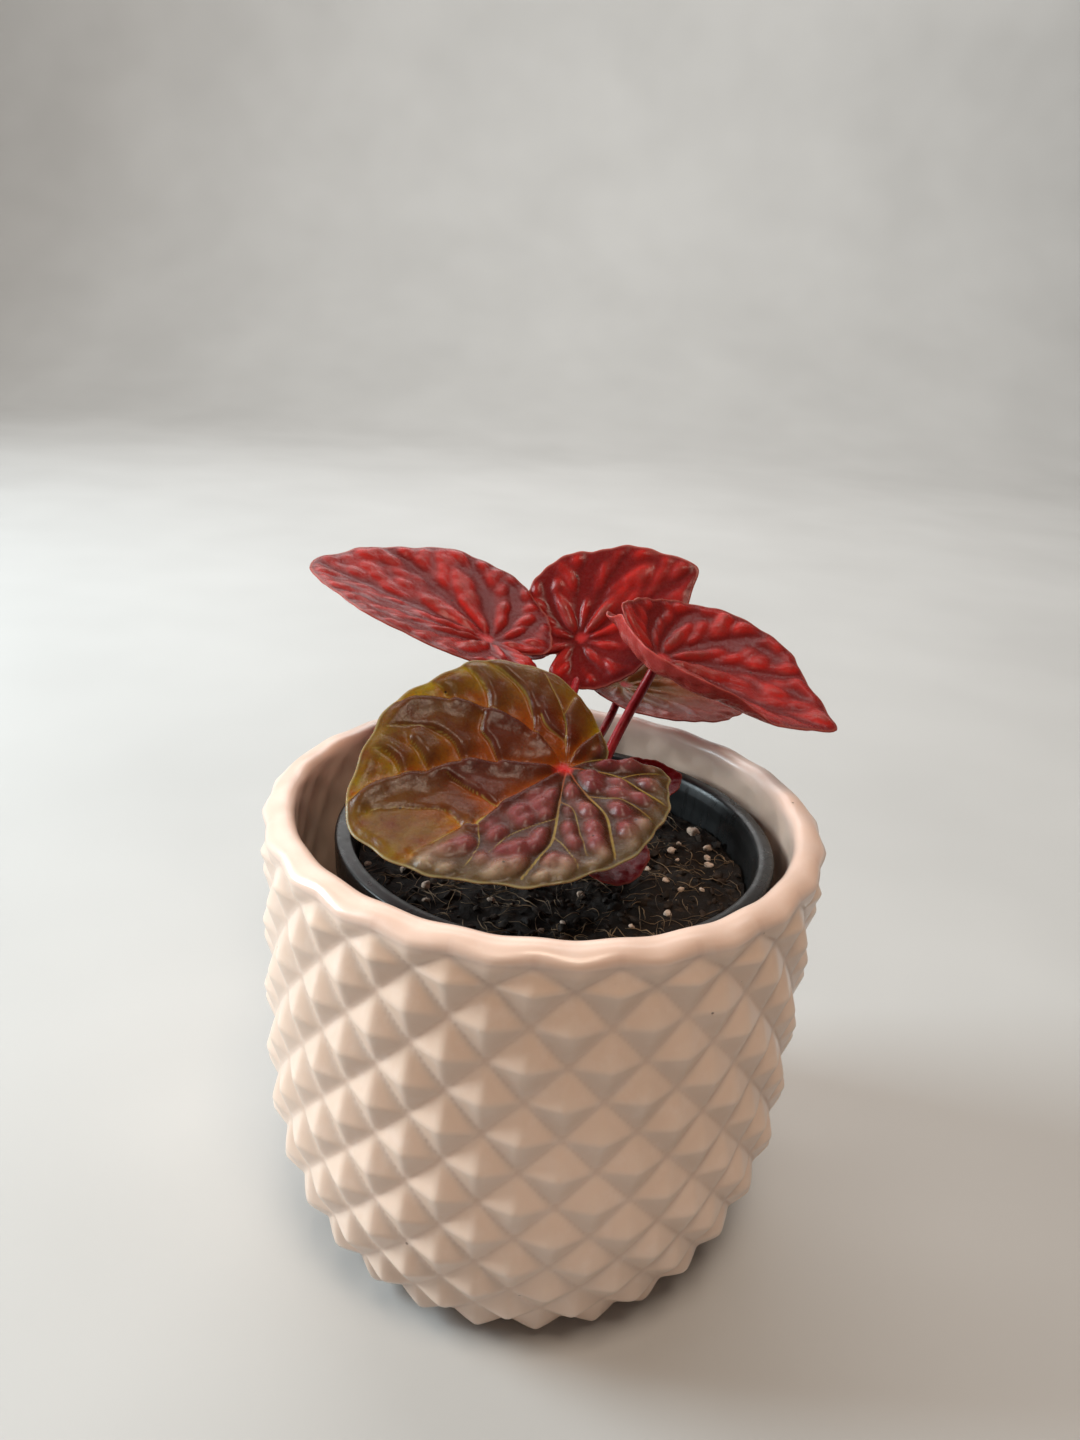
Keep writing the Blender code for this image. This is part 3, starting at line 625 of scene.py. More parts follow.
def black_plastic():
    material, tree = new_material("black_plastic_moulded")
    haze = cloud(tree, 14.0, 4.0)
    scuff = cloud(tree, 3.0, 6.0, 0.7, stretch=(1.0, 1.0, 0.15))
    patchy = (cloud(tree, 5.0), 0.5, 0.62, 0.0, 0.6)
    dust = product(tree, (grains_of(tree, 1.6), 0.06, 0.1, 1.0, 0.0), patchy)
    body = layered(
        tree, ramp(tree, haze, 0.35, 0.7, (0.009, 0.009, 0.009), (0.02, 0.02, 0.02)),
        (dust, None, (0.13, 0.09, 0.06)),
    )
    rough = spread(tree, scuff, 0.3, 0.7, 0.22, 0.42)
    grain = bumps(tree, cloud(tree, 0.5, 2.0), 0.15, 0.05)
    return finish(material, body, rough, grain, {"Specular IOR Level": 0.35})


# Soil

def soil_height(x, y):
    """The same lumpy top as the solid's, for one point measured from the crown."""
    radius = math.hypot(x, y)
    edge = NURSERY_MOUTH_RADIUS
    window = min(1.0, max(0.0, (radius - 7.0) / 8.0))
    lumps = noise.noise(Vector((x, y, 0.0)) / 9.0)
    fine = noise.noise(Vector((x, y, 4.0)) / 3.5)
    tilt = 0.6 * (1.0 - radius / edge) - 0.9 * y / edge - 1.2 * x / edge
    return SOIL_TOP + tilt * window + SOIL_LUMPS * window * (lumps + 0.4 * fine)


def crumbs_height(x, y):
    """Crumbly detail that is added to the lumps."""
    radius = math.hypot(x, y)
    window = min(1.0, max(0.0, (radius - 6.0) / 2.0))
    cells = noise.voronoi(Vector((x, y, 0.0)) / 2.6)[0]
    crumb = 0.55 - cells[0]
    small = noise.noise(Vector((x, y, 7.0)) / 1.1)
    return window * (0.75 * crumb + 0.28 * small)


def peat_top(x, y):
    return soil_height(x, y) + crumbs_height(x, y)


def make_soil():
    wall = nursery_inner(SOIL_TOP - 4.0) - 0.1
    radii = np.concatenate([[STEM_HOLE_RADIUS], np.linspace(5.6, wall, 112)])
    floor = POT_FLOOR + 2.0 * GAP + NURSERY_WALL
    profile = [(0.0, STEM_HOLE_FLOOR), (STEM_HOLE_RADIUS, STEM_HOLE_FLOOR)]
    profile += [(r, SOIL_TOP) for r in radii]
    profile += [(nursery_inner(60.0) - GAP, 60.0), (nursery_inner(12.0) - GAP, 12.0)]
    profile += [(nursery_inner(floor) - 1.0, floor), (0.0, floor)]
    obj = spun("soil_peat", profile, 360)
    points = points_of(obj)
    top = np.abs(points[:, 2] - SOIL_TOP) < 0.01
    for index in np.nonzero(top)[0]:
        x, y = points[index, :2]
        points[index, 2] = peat_top(x, y)
    points[:, 0] += NURSERY_X
    set_points(obj, points)
    place(obj, "soil", dark_peat())


def dark_peat():
    material, tree = new_material("dark_peat_moist")
    lumps = cloud(tree, 4.0, 6.0, 0.65)
    strands = cloud(tree, 1.6, 5.0, 0.7, stretch=(0.35, 1.0, 1.0))
    rare = (cloud(tree, 7.0, 2.0), 0.5, 0.6)
    grains = product(tree, (grains_of(tree, 2.4), 0.05, 0.09, 1.0, 0.0), rare)
    body = layered(
        tree, ramp(tree, lumps, 0.35, 0.7, (0.005, 0.0035, 0.0025), (0.02, 0.012, 0.008)),
        (strands, (0.58, 0.72, 0.0, 0.8), (0.085, 0.05, 0.027)),
        (grains, None, (0.34, 0.24, 0.16)),
    )
    rough = spread(tree, lumps, 0.3, 0.7, 0.62, 0.95)
    grit = bumps(tree, cloud(tree, 0.8, 6.0, 0.7), 0.9, 0.5)
    return finish(material, body, rough, grit, {"Specular IOR Level": 0.22})


def rough_stone(seed, detail, jag):
    """Points and faces of a lumpy grain about 1 mm across, from an icosphere."""
    deselect()
    bpy.ops.mesh.primitive_ico_sphere_add(subdivisions=detail, radius=0.5 * MM)
    stone = bpy.context.active_object
    points = points_of(stone)
    faces = [tuple(face.vertices) for face in stone.data.polygons]
    bpy.data.objects.remove(stone)
    grow = 1.0 + jag * noise_at(points, 0.45, seed)
    return points * grow[:, None], faces


def scattered(name, shapes, places):
    """One object of many copies: each place is shape, point, size x, y, z, and turn."""
    all_points, all_faces, start = [], [], 0
    for shape, point, sizes, turn in places:
        points, faces = shapes[shape]
        matrix = np.array(turn.to_matrix())
        all_points.append((points * np.array(sizes)) @ matrix.T + np.array(point))
        all_faces += [tuple(index + start for index in face) for face in faces]
        start += len(points)
    return object_from(name, np.concatenate(all_points), all_faces)


def soil_spot(draw, low, high):
    angle = draw.uniform(0.0, 2.0 * math.pi)
    radius = math.sqrt(draw.uniform(low**2, high**2))
    return radius * math.cos(angle), radius * math.sin(angle)


def any_turn(draw):
    return Vector((draw.gauss(0, 1), draw.gauss(0, 1), draw.gauss(0, 1))).to_track_quat("Z", "Y")


def make_perlite():
    draw = random.Random(11)
    shapes = [rough_stone(seed, 3, 0.45) for seed in (1, 2, 3, 4)]
    spots = [(x - NURSERY_X, y, size) for x, y, size in PERLITE]
    while len(spots) < len(PERLITE) + EXTRA_PERLITE:
        x, y = soil_spot(draw, 13.0, 44.5)
        if all(math.dist((x, y), spot[:2]) > 3.0 for spot in spots):
            spots.append((x, y, draw.uniform(0.8, 1.7)))
    places = []
    for index, (x, y, size) in enumerate(spots):
        z = peat_top(x, y) + 0.1 * size
        sizes = (size, draw.uniform(0.65, 0.9) * size, draw.uniform(0.6, 0.85) * size)
        places.append((index % 4, (x + NURSERY_X, y, z), sizes, any_turn(draw)))
    obj = scattered("perlite_grains", shapes, places)
    place(obj, None, perlite())


def perlite():
    material, tree = new_material("perlite_porous")
    tone = cloud(tree, 2.2, 4.0)
    pores = spread(tree, grains_of(tree, 0.45), 0.1, 0.4)
    body = layered(
        tree, ramp(tree, tone, 0.35, 0.65, (0.42, 0.29, 0.21), (0.66, 0.5, 0.4)),
        (pores, (0.4, 0.0, 0.0, 0.5), (0.33, 0.22, 0.15)),
    )
    return finish(material, body, 0.85, bumps(tree, pores, 0.7, 0.2))


def make_crumbs():
    """Loose crumbs and flakes of bark that lie on the peat."""
    draw = random.Random(29)
    shapes = [rough_stone(seed, 2, 0.8) for seed in (5, 6, 7)]
    places = []
    for index in range(CRUMBS):
        x, y = soil_spot(draw, 6.2, 45.6)
        size = draw.uniform(0.7, 2.0) if draw.random() < 0.8 else draw.uniform(2.0, 3.4)
        z = peat_top(x, y) + 0.12 * size
        flat = draw.uniform(0.35, 0.8)
        sizes = (size, size * draw.uniform(0.5, 0.9), size * flat)
        places.append((index % 3, (x + NURSERY_X, y, z), sizes, any_turn(draw)))
    obj = scattered("peat_crumbs", shapes, places)
    place(obj, None, crumb_bark(), 50)


def crumb_bark():
    material, tree = new_material("peat_crumb_bark")
    tone, fine = cloud(tree, 5.0, 2.0), cloud(tree, 0.9, 5.0, 0.7)
    body = layered(
        tree, ramp(tree, tone, 0.35, 0.68, (0.006, 0.004, 0.003), (0.038, 0.021, 0.012)),
        (fine, (0.55, 0.8, 0.0, 0.5), (0.1, 0.062, 0.036)),
    )
    rough_skin = bumps(tree, fine, 0.9, 0.35)
    return finish(material, body, 0.7, rough_skin, {"Specular IOR Level": 0.25})


def make_fibres():
    """Fine roots and coir strands that arch over the peat, as four-sided tubes."""
    draw = random.Random(47)
    points, faces = [], []
    for _ in range(FIBRES):
        path, thick = fibre_path(draw)
        start, steps = len(points), FIBRE_STEPS
        for index, spot in enumerate(path):
            ahead = path[min(index + 1, steps)] - path[max(index - 1, 0)]
            side = ahead.cross(Vector((0, 0, 1))).normalized()
            over = side.cross(ahead).normalized()
            width = thick * (1.0 - 0.6 * abs(2.0 * index / steps - 1.0))
            for a, b in ((1, 0), (0, 1), (-1, 0), (0, -1)):
                points.append(tuple(spot + width * (a * side + b * over)))
        for row in range(start, start + 4 * steps, 4):
            for k in range(4):
                after = (k + 1) % 4
                faces.append((row + k, row + after, row + 4 + after, row + 4 + k))
        faces.append((start + 3, start + 2, start + 1, start))
        end = start + 4 * steps
        faces.append((end, end + 1, end + 2, end + 3))
    obj = object_from("peat_fibres", points, faces)
    mend(obj)
    place(obj, None, fibre())


def fibre_path(draw):
    """Points along one wandering strand, and how thick it is."""
    x, y = soil_spot(draw, 7.0, 44.5)
    heading = draw.uniform(0.0, 2.0 * math.pi)
    stride = draw.uniform(3.0, 11.0)
    thick = draw.uniform(0.07, 0.17)
    arch = draw.uniform(0.1, 1.1)
    curl = draw.gauss(0.0, 0.22)
    path = []
    for step in range(FIBRE_STEPS + 1):
        if math.hypot(x, y) > 45.8:
            x, y = x * 0.985, y * 0.985
        lift = arch * math.sin(math.pi * step / FIBRE_STEPS) + 0.15
        path.append(Vector((x + NURSERY_X, y, peat_top(x, y) + lift)))
        heading += curl + draw.gauss(0.0, 0.12)
        x += stride / FIBRE_STEPS * math.cos(heading)
        y += stride / FIBRE_STEPS * math.sin(heading)
    return path, thick


def fibre():
    material, tree = new_material("peat_fibre")
    tone = cloud(tree, 6.0, 3.0)
    body = ramp(tree, tone, 0.38, 0.66, (0.05, 0.028, 0.014), (0.3, 0.185, 0.095))
    return finish(material, body, 0.7, bumps(tree, cloud(tree, 0.5), 0.4, 0.1))


# Crown

def make_crown():
    bottom = STEM_HOLE_FLOOR + GAP
    coarse = [(r, bottom + rise) for r, rise in CROWN_KNUCKLES]
    coarse += [(4.45, CROWN_TOP - 3.0), (3.5, CROWN_TOP - 1.1), (0.0, CROWN_TOP)]
    profile = [coarse[0], coarse[1]]
    for (r0, z0), (r1, z1) in zip(coarse[1:-1], coarse[2:]):
        profile += [(r0 + t * (r1 - r0), z0 + t * (z1 - z0)) for t in (0.25, 0.5, 0.75, 1.0)]
    obj = spun("crown_stem", profile, 64)
    points = points_of(obj)
    turn = np.arctan2(points[:, 1], points[:, 0])
    scars = np.sin(2.2 * points[:, 2] + 1.5 * np.sin(2.0 * turn)) ** 6
    bark = 0.2 * noise_at(points, 1.6, 4.0) - 0.22 * scars
    radius = np.hypot(points[:, 0], points[:, 1])
    grow = np.where(radius > 0.5, (bark - 0.02) / np.maximum(radius, 0.5), 0.0)
    points[:, 0] = points[:, 0] * (1 + grow) + NURSERY_X
    points[:, 1] *= 1 + grow
    set_points(obj, points)
    place(obj, "crown", crown_skin())


def crown_skin():
    material, tree = new_material("crown_skin")
    tone = cloud(tree, 3.0, 5.0, 0.65)
    body = layered(
        tree, ramp(tree, tone, 0.35, 0.65, (0.13, 0.05, 0.028), (0.26, 0.13, 0.055)),
        (cloud(tree, 0.8, 3.0), (0.6, 0.75, 0.0, 0.5), (0.36, 0.05, 0.05)),
    )
    rough = spread(tree, tone, 0.3, 0.7, 0.45, 0.7)
    bark = bumps(tree, cloud(tree, 0.7, 4.0), 0.5, 0.2)
    fixed = {"Subsurface Weight": 0.1, "Subsurface Scale": 0.001}
    return finish(material, body, rough, bark, fixed)


# Leaves

def curve_through(xs, ys, x):
    """Smooth values at x on a curve through the points, level at both ends."""
    xs, ys = np.asarray(xs, float), np.asarray(ys, float)
    slopes = np.zeros(len(xs))
    slopes[1:-1] = (ys[2:] - ys[:-2]) / (xs[2:] - xs[:-2])
    index = np.clip(np.searchsorted(xs, x, side="right") - 1, 0, len(xs) - 2)
    step = xs[index + 1] - xs[index]
    share = (x - xs[index]) / step
    start, end = slopes[index] * step, slopes[index + 1] * step
    rise = ys[index + 1] - ys[index]
    bend = share**2 * (3 * rise - 2 * start - end) + share**3 * (start + end - 2 * rise)
    return ys[index] + share * start + bend


def is_big(leaf):
    return leaf["length"] > SMALL_LEAF


def reach_at(leaf, degrees):
    left = curve_through(OUTLINE_DEGREES, leaf["halves"][0], np.abs(degrees))
    right = curve_through(OUTLINE_DEGREES, leaf["halves"][1], np.abs(degrees))
    return leaf["length"] * np.where(degrees > 0.0, left, right)


def rounded_line(line):
    """A vein's corners smoothed: the points of a curve through the traced ones."""
    points = np.array(line, float)
    ends = np.concatenate([[2 * points[0] - points[1]], points, [2 * points[-1] - points[-2]]])
    out = [points[0]]
    for a, b, c, d in zip(ends[:-3], ends[1:-2], ends[2:-1], ends[3:]):
        for t in np.arange(1, VEIN_STEPS + 1) / VEIN_STEPS:
            out.append(0.5 * (2 * b + (c - a) * t + (2 * a - 5 * b + 4 * c - d) * t**2
                              + (3 * b - a - 3 * c + d) * t**3))
    return np.array(out)


def grown_veins(leaf, draw):
    """Main veins that fan from the stalk and bend to the tip, and their side veins."""
    main, side = [], []
    for angle in VEIN_FAN:
        start = angle + draw.uniform(-5, 5)
        reach = float(reach_at(leaf, np.array([float(angle)]))[0])
        line = []
        for share in (0.0, 0.2, 0.4, 0.6, 0.8, 1.0):
            degrees = start * (1.12 - 0.26 * share) + draw.uniform(-1.2, 1.2)
            turn = math.radians(degrees)
            line.append((share * reach * math.cos(turn), share * reach * math.sin(turn)))
        main.append(line)
        for share, sense in VEIN_BRANCHES:
            share += draw.uniform(-0.04, 0.04)
            here = start * (1.12 - 0.26 * share)
            branch = []
            for step in (0.0, 0.35, 0.7, 1.0):
                radius = (share + min(0.38, 1.02 - share) * step) * reach
                turn = math.radians(here + sense * (15.0 * step**0.8))
                branch.append((radius * math.cos(turn), radius * math.sin(turn)))
            side.append(branch)
    side.append([(-0.05 * leaf["length"], 0.0), (-0.2 * leaf["length"], 0.0)])
    return main, side


def bead_gap(leaf, a, b, x, y):
    """The distance to a bead's centre, shorter along the line from the stalk."""
    out = max(math.hypot(a, b), 1e-6)
    along = ((x - a) * a + (y - b) * b) / out
    across = ((y - b) * a - (x - a) * b) / out
    return np.hypot(along / leaf["stretch"], across)


def bead_centres(leaf, lines, draw):
    """Points scattered over the blade at least a spacing apart, clear of the veins."""
    reach = 1.05 * leaf["length"]
    tries = [(draw.uniform(-reach, reach), draw.uniform(-reach, reach)) for _ in range(3200)]
    x, y = np.array(tries).T
    open_to = np.ones(len(tries), bool)
    for line in lines:
        open_to &= beside(line, x, y)[0] > 0.3 * leaf["spacing"]
    centres = []
    for index in range(len(tries)):
        if open_to[index]:
            centres.append(tries[index])
            open_to &= bead_gap(leaf, *tries[index], x, y) > leaf["spacing"]
    return centres


def domes(leaf, centres, x, y):
    """Round beads that run into one another, from 0 between them to 1 on top."""
    left = np.ones(x.shape)
    for a, b in centres:
        left *= 1.0 - np.exp(-((bead_gap(leaf, a, b, x, y) / leaf["bead"]) ** 2))
    return 1.0 - left


def beside(line, x, y):
    """The distance from each point to a line, and the direction it lies in from the line."""
    best = np.full(x.shape, 1e6)
    ahead, over = np.zeros(x.shape), np.zeros(x.shape)
    for (x0, y0), (x1, y1) in zip(line[:-1], line[1:]):
        dx, dy = x1 - x0, y1 - y0
        share = ((x - x0) * dx + (y - y0) * dy) / max(dx * dx + dy * dy, 1e-9)
        share = np.clip(share, 0.0, 1.0)
        px, py = x - x0 - share * dx, y - y0 - share * dy
        gap = np.hypot(px, py)
        nearer = gap < best
        ahead[nearer] = (px / np.maximum(gap, 1e-6))[nearer]
        over[nearer] = (py / np.maximum(gap, 1e-6))[nearer]
        best[nearer] = gap[nearer]
    return best, ahead, over


def puckers(leaf, veins, x, y):
    """Height of the puckers, how near each vein is, and which side of its step,
    which the leaf colour paints as shade on one side and light on the other.
    """
    main, side, centres = veins
    small = 1.0 if is_big(leaf) else 0.42
    radius = np.hypot(x, y)
    share = bead_share(leaf, x, y)
    width = small * (0.9 + 1.1 * np.clip(radius / (22.0 * small), 0.0, 1.0))
    swell = np.ones(x.shape)
    vein, step, shade_lean = np.zeros((3, *x.shape))
    for lines, depth, thin in ((main, *MAIN_VEIN), (side, *SIDE_VEIN)):
        for line in lines:
            gap, ahead, over = beside(line, x, y)
            hand = over if lines is main else -ahead
            swell *= 1.0 - depth * np.exp(-((gap / width) ** 2))
            vein = np.maximum(vein, depth * np.exp(-((gap / (thin * small)) ** 2)))
            lip = np.tanh(gap / 0.5) * np.exp(-((gap / (1.7 * width)) ** 2))
            step += depth * hand * lip
            # Painted light and shade: a lean to one side of each vein, which the front leaf's
            # colour turns into a shaded and a lit side
            shade_lean += depth * hand * np.tanh(gap / 0.3) * np.exp(-gap / (1.3 * width))
    bead = domes(leaf, centres, x, y)
    beaded = swell * (1.0 - leaf["beads"] * (1.0 - bead))
    scaled = 0.45 + 0.55 * np.tanh(1.2 * step) - 0.12 * np.minimum(vein, 0.8)
    scaled = scaled + 0.13 * (bead - 0.5)
    height = share * beaded + (1.0 - share) * scaled
    return height, vein, np.tanh(1.3 * shade_lean)


def bead_share(leaf, x, y):
    """The front leaf is beaded on its near side and smooth on its far side."""
    if "front" not in leaf:
        return np.ones(np.shape(x))
    near_margin = 0.2 * np.maximum(x - 18.0, 0.0) * smoothstep(10.0, 22.0, y)
    return smoothstep(-1.0, 5.0, y - 0.4 * np.maximum(x, 0.0) + near_margin
                      + 0.55 * np.maximum(-x, 0.0))


def leaf_place(leaf):
    along = Vector(leaf["tip"]).normalized()
    up = Vector(leaf["up"])
    up = (up - up.dot(along) * along).normalized()
    across = up.cross(along)
    return np.array((along, across, up)), np.array(leaf["seat"])


def rolled(leaf, degrees, ring, x, y, rise):
    """Turns the outer strip of one half up and in over the blade."""
    if "roll" not in leaf:
        return x, y, rise
    half, first, last, width, height = leaf["roll"]
    turn = degrees * half
    share = smoothstep(first, first + 25.0, turn) * (1.0 - smoothstep(last - 20.0, last, turn))
    lift = np.clip((ring - (1.0 - width)) / width, 0.0, 1.0) ** 2 * share
    radius = np.maximum(np.hypot(x, y), 1.0)
    pull = 0.55 * height * lift / radius
    return x * (1.0 - pull), y * (1.0 - pull), rise + height * lift


def blade_grid(leaf, columns, rings):
    """Middle surface and fields of a blade, ring by ring, from the stalk out."""
    draw = random.Random(leaf["seed"])
    if "front" in leaf:
        main, side = FRONT_MAIN_VEINS, FRONT_SIDE_VEINS
    else:
        main, side = grown_veins(leaf, draw)
    main, side = ([rounded_line(line) for line in lines] for lines in (main, side))
    centres = bead_centres(leaf, main + side, draw)
    degrees, ring = np.meshgrid(np.arange(columns) * 360.0 / columns - 180.0,
                                np.arange(1, rings + 1) / rings)
    radians = np.radians(degrees)
    reach = reach_at(leaf, degrees)
    frill = 1.0
    for size, waves, shift, rise in FRILLS:
        frill = frill + size * np.sin(radians * waves + shift * leaf["seed"]) * ring**rise
    x = ring * reach * frill * np.cos(radians)
    y = ring * reach * frill * np.sin(radians)
    height, near_vein, shade_lean = puckers(leaf, (main, side, centres), x, y)
    margin = (1.0 - ring) * reach
    scale = 1.0 if is_big(leaf) else 0.5
    settle = 0.18 + 0.82 * smoothstep(0.0, 3.4 * scale, margin)
    settle = smoothstep(0.0, 5.0 * scale, np.hypot(x, y)) * settle
    rise = leaf["fold"] * (np.hypot(y, 5.0) - 5.0) + leaf["cup"] * (x**2 + y**2) / 60.0
    rise += leaf["lobes"] * np.maximum(-x, 0.0) ** 1.5 / 6.0
    rise += leaf["pucker"] * height * settle
    fields = {
        "vein": near_vein * (0.35 + 0.65 * smoothstep(0.3, 3.0, margin)),
        "swell": height * settle,
        "shade_side": 0.5 + 0.5 * shade_lean,
        "margin": np.exp(-margin / (1.0 * scale)),
        "reach": ring,
        "beads": bead_share(leaf, x, y),
        "olive": np.full(x.shape, leaf.get("olive", 0.0)),
        "painted_shade": np.full(x.shape, leaf.get("painted_shade", 0.0)),
    }
    x, y, rise = rolled(leaf, degrees, ring, x, y, rise)
    bend = max(leaf["droop"], 0.001) / leaf["length"]
    turn = bend * x
    local = np.stack([np.sin(turn) / bend + rise * np.sin(turn), y,
                      -(1.0 - np.cos(turn)) / bend + rise * np.cos(turn)], -1)
    axes, seat = leaf_place(leaf)
    return local @ axes + seat, margin, fields, axes, seat


def grid_normals(grid):
    outward = np.gradient(grid, axis=0)
    round_way = np.roll(grid, -1, axis=1) - np.roll(grid, 1, axis=1)
    normal = np.cross(outward, round_way)
    return normal / np.maximum(np.linalg.norm(normal, axis=-1, keepdims=True), 1e-9)


def blade_faces(columns, layers):
    """Quads between rings that follow one another, and a fan at each pole."""
    faces = []
    last = 1 + (layers - 1) * columns
    for low in range(1, last, columns):
        for k in range(columns):
            after = (k + 1) % columns
            faces.append((low + k, low + columns + k, low + columns + after, low + after))
    for k in range(columns):
        after = (k + 1) % columns
        faces.append((0, 1 + k, 1 + after))
        faces.append((last + columns, last + after, last + k))
    return faces


def make_blade(name, leaf):
    big = is_big(leaf)
    columns, rings = BLADE_GRIDS["front" if "front" in leaf else "big" if big else "small"]
    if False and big:
        columns, rings = columns // 2, rings // 2
    grid, margin, fields, axes, seat = blade_grid(leaf, columns, rings)
    thick = BLADE_THICK if big else SMALL_BLADE_THICK
    half = 0.5 * thick * (0.55 + 0.45 * smoothstep(0.0, 2.5, margin))[..., None]
    normal = grid_normals(grid)
    upper, lower = grid + half * normal, grid - half * normal
    outward = grid[-1] - grid[-2]
    outward /= np.maximum(np.linalg.norm(outward, axis=-1, keepdims=True), 1e-9)
    edge = grid[-1] + BLADE_EDGE * outward
    pole = 0.5 * thick * axes[2]
    points = np.concatenate([[seat + pole], upper.reshape(-1, 3), edge,
                             lower[::-1].reshape(-1, 3), [seat - pole]])
    obj = object_from(name + "_blade", points, blade_faces(columns, 2 * rings + 1))
    mend(obj)
    for key, values in fields.items():
        start = [values[0].mean()]
        store(obj, key, np.concatenate(
            [start, values.ravel(), values[-1], values[::-1].ravel(), start]))
    count = rings * columns
    under = np.concatenate([np.zeros(1 + count), np.full(columns, 0.5), np.ones(count + 1)])
    store(obj, "under", under)
    return obj


def stalk_path(leaf, steps):
    angle = math.radians(leaf["root"])
    outward = Vector((math.cos(angle), math.sin(angle), 0.0))
    stand = CROWN_RADIUS + GAP + leaf["stalk"]
    start = Vector((NURSERY_X, 0.0, SOIL_TOP + 1.0)) + stand * outward
    end = Vector(leaf["seat"])
    span = (end - start).length
    under = -(Vector(leaf["up"]).normalized() + (end - start) / span).normalized()
    first = start + leaf["bow"] * span * (Vector((0.0, 0.0, 1.0)) + 0.25 * outward)
    second = end + 0.3 * span * under
    path = []
    for step in range(steps):
        t = step / (steps - 1)
        path.append((1 - t) ** 3 * start + 3 * (1 - t) ** 2 * t * first
                    + 3 * (1 - t) * t**2 * second + t**3 * end)
    return path


def make_stalk(name, leaf):
    path = stalk_path(leaf, STALK_STEPS)
    data = bpy.data.curves.new(name, "CURVE")
    data.dimensions = "3D"
    data.bevel_depth = leaf["stalk"] * MM
    data.bevel_resolution = 5
    data.use_fill_caps = True
    spline = data.splines.new("POLY")
    spline.points.add(len(path) - 1)
    for index, (point, spot) in enumerate(zip(spline.points, path)):
        share = index / (len(path) - 1)
        point.co = (*(spot * MM), 1.0)
        foot = 0.1 * max(0.0, 1.0 - share / 0.08)
        point.radius = 1.06 - 0.12 * share + foot + 0.25 * max(0.0, (share - 0.93) / 0.07)
    spline.points[-1].radius = 0.25 / leaf["stalk"]
    obj = bpy.data.objects.new(name + "_stalk", data)
    bpy.context.scene.collection.objects.link(obj)
    pick(obj)
    bpy.ops.object.convert(target="MESH")
    obj = bpy.context.active_object
    mend(obj, WELD)
    low = path[0].z
    climb = (points_of(obj)[:, 2] - low) / max(leaf["seat"][2] - low, 1.0)
    store(obj, "climb", np.clip(climb, 0.0, 1.0))
    return obj


def olive_leaf():
    """The front leaf: olive and orange panels, each with a painted shaded side and a painted lit
    side, and dusky beads on the near side with painted shade in the furrows between them.
    """
    material, tree = new_material("olive_burgundy_leaf_waxy")
    keys = ("vein", "swell", "margin", "reach", "beads", "under", "shade_side")
    vein, swell, margin, reach, beads, under, shade_side = (attribute(tree, key) for key in keys)
    broad = cloud(tree, 13.0, 3.0)
    patches = cloud(tree, 5.0, 5.0, 0.6)
    fine = cloud(tree, 1.1, 4.0, 0.65)
    # Painted light and shade: each panel is darker on its shaded side and glows orange and
    # yellow on its lit side
    shadow, glow = spread(tree, shade_side, 0.5, 0.85), spread(tree, shade_side, 0.48, 0.15)
    inner, outer = (
        layered(tree, plain, (shadow, None, dark), (glow, None, lit))
        for plain, dark, lit in (
            ((0.11, 0.022, 0.007), (0.066, 0.012, 0.008), (0.27, 0.055, 0.004)),
            ((0.15, 0.08, 0.01), (0.1, 0.042, 0.011), (0.27, 0.175, 0.007)),
        )
    )
    far = product(tree, (reach, 0.45, 1.0), (patches, 0.25, 0.6))
    # Painted shade: dusky maroon patches over the shaded sides of the panels
    dusky_shade = product(tree, (shade_side, 0.45, 0.75), (patches, 0.5, 0.68, 0.0, 0.6))
    # Painted shade: the beads, and the pale domes near the margin, darken into the furrows
    # between them
    furrow_shade = blend(tree, patches, (0.028, 0.008, 0.005), (0.07, 0.024, 0.01))
    bead_top = ramp(tree, broad, 0.35, 0.65, (0.14, 0.026, 0.027), (0.205, 0.062, 0.056))
    pale = ramp(tree, swell, 0.2, 0.6, (0.085, 0.05, 0.02), (0.27, 0.19, 0.12))
    beaded = layered(
        tree, ramp(tree, swell, 0.15, 0.6, furrow_shade, bead_top),
        (reach, (0.78, 0.95, 0.0, 0.9), pale),
    )
    line = ramp(tree, reach, 0.1, 0.45, (0.26, 0.05, 0.015), (0.26, 0.17, 0.04))
    body = layered(
        tree, inner,
        (far, None, outer),
        (dusky_shade, None, (0.135, 0.048, 0.034)),
        (beads, (0.25, 0.75), beaded),
        (fine, (0.5, 0.75, 0.0, 0.45), (0.045, 0.014, 0.007)),
        (vein, (0.28, 0.6, 0.0, 0.9), line),
        (margin, (0.55, 0.9, 0.0, 0.8), (0.26, 0.2, 0.09)),
        (reach, (0.085, 0.03), (0.46, 0.018, 0.016)),  # where the stalk joins
        (grains_of(tree, 7.0), (0.035, 0.055, 1.0, 0.0), (0.02, 0.01, 0.006)),  # specks
        (under, None, (0.2, 0.06, 0.028)),
    )
    return finish_leaf(material, body, fine)


def finish_leaf(material, body, fine):
    """The waxy skin that both leaf materials share."""
    tree = material.node_tree
    skin = bumps(tree, cloud(tree, 0.55, 3.0), 0.2, 0.1)
    wax = bumps(tree, cloud(tree, 1.7, 4.0), 0.3, 0.4, skin)
    return finish(material, body, spread(tree, fine, 0.35, 0.7, 0.22, 0.36), wax, {
        "Specular IOR Level": 0.14, "Subsurface Weight": 0.25,
        "Subsurface Radius": (1.0, 0.22, 0.08), "Subsurface Scale": 0.0012,
    })


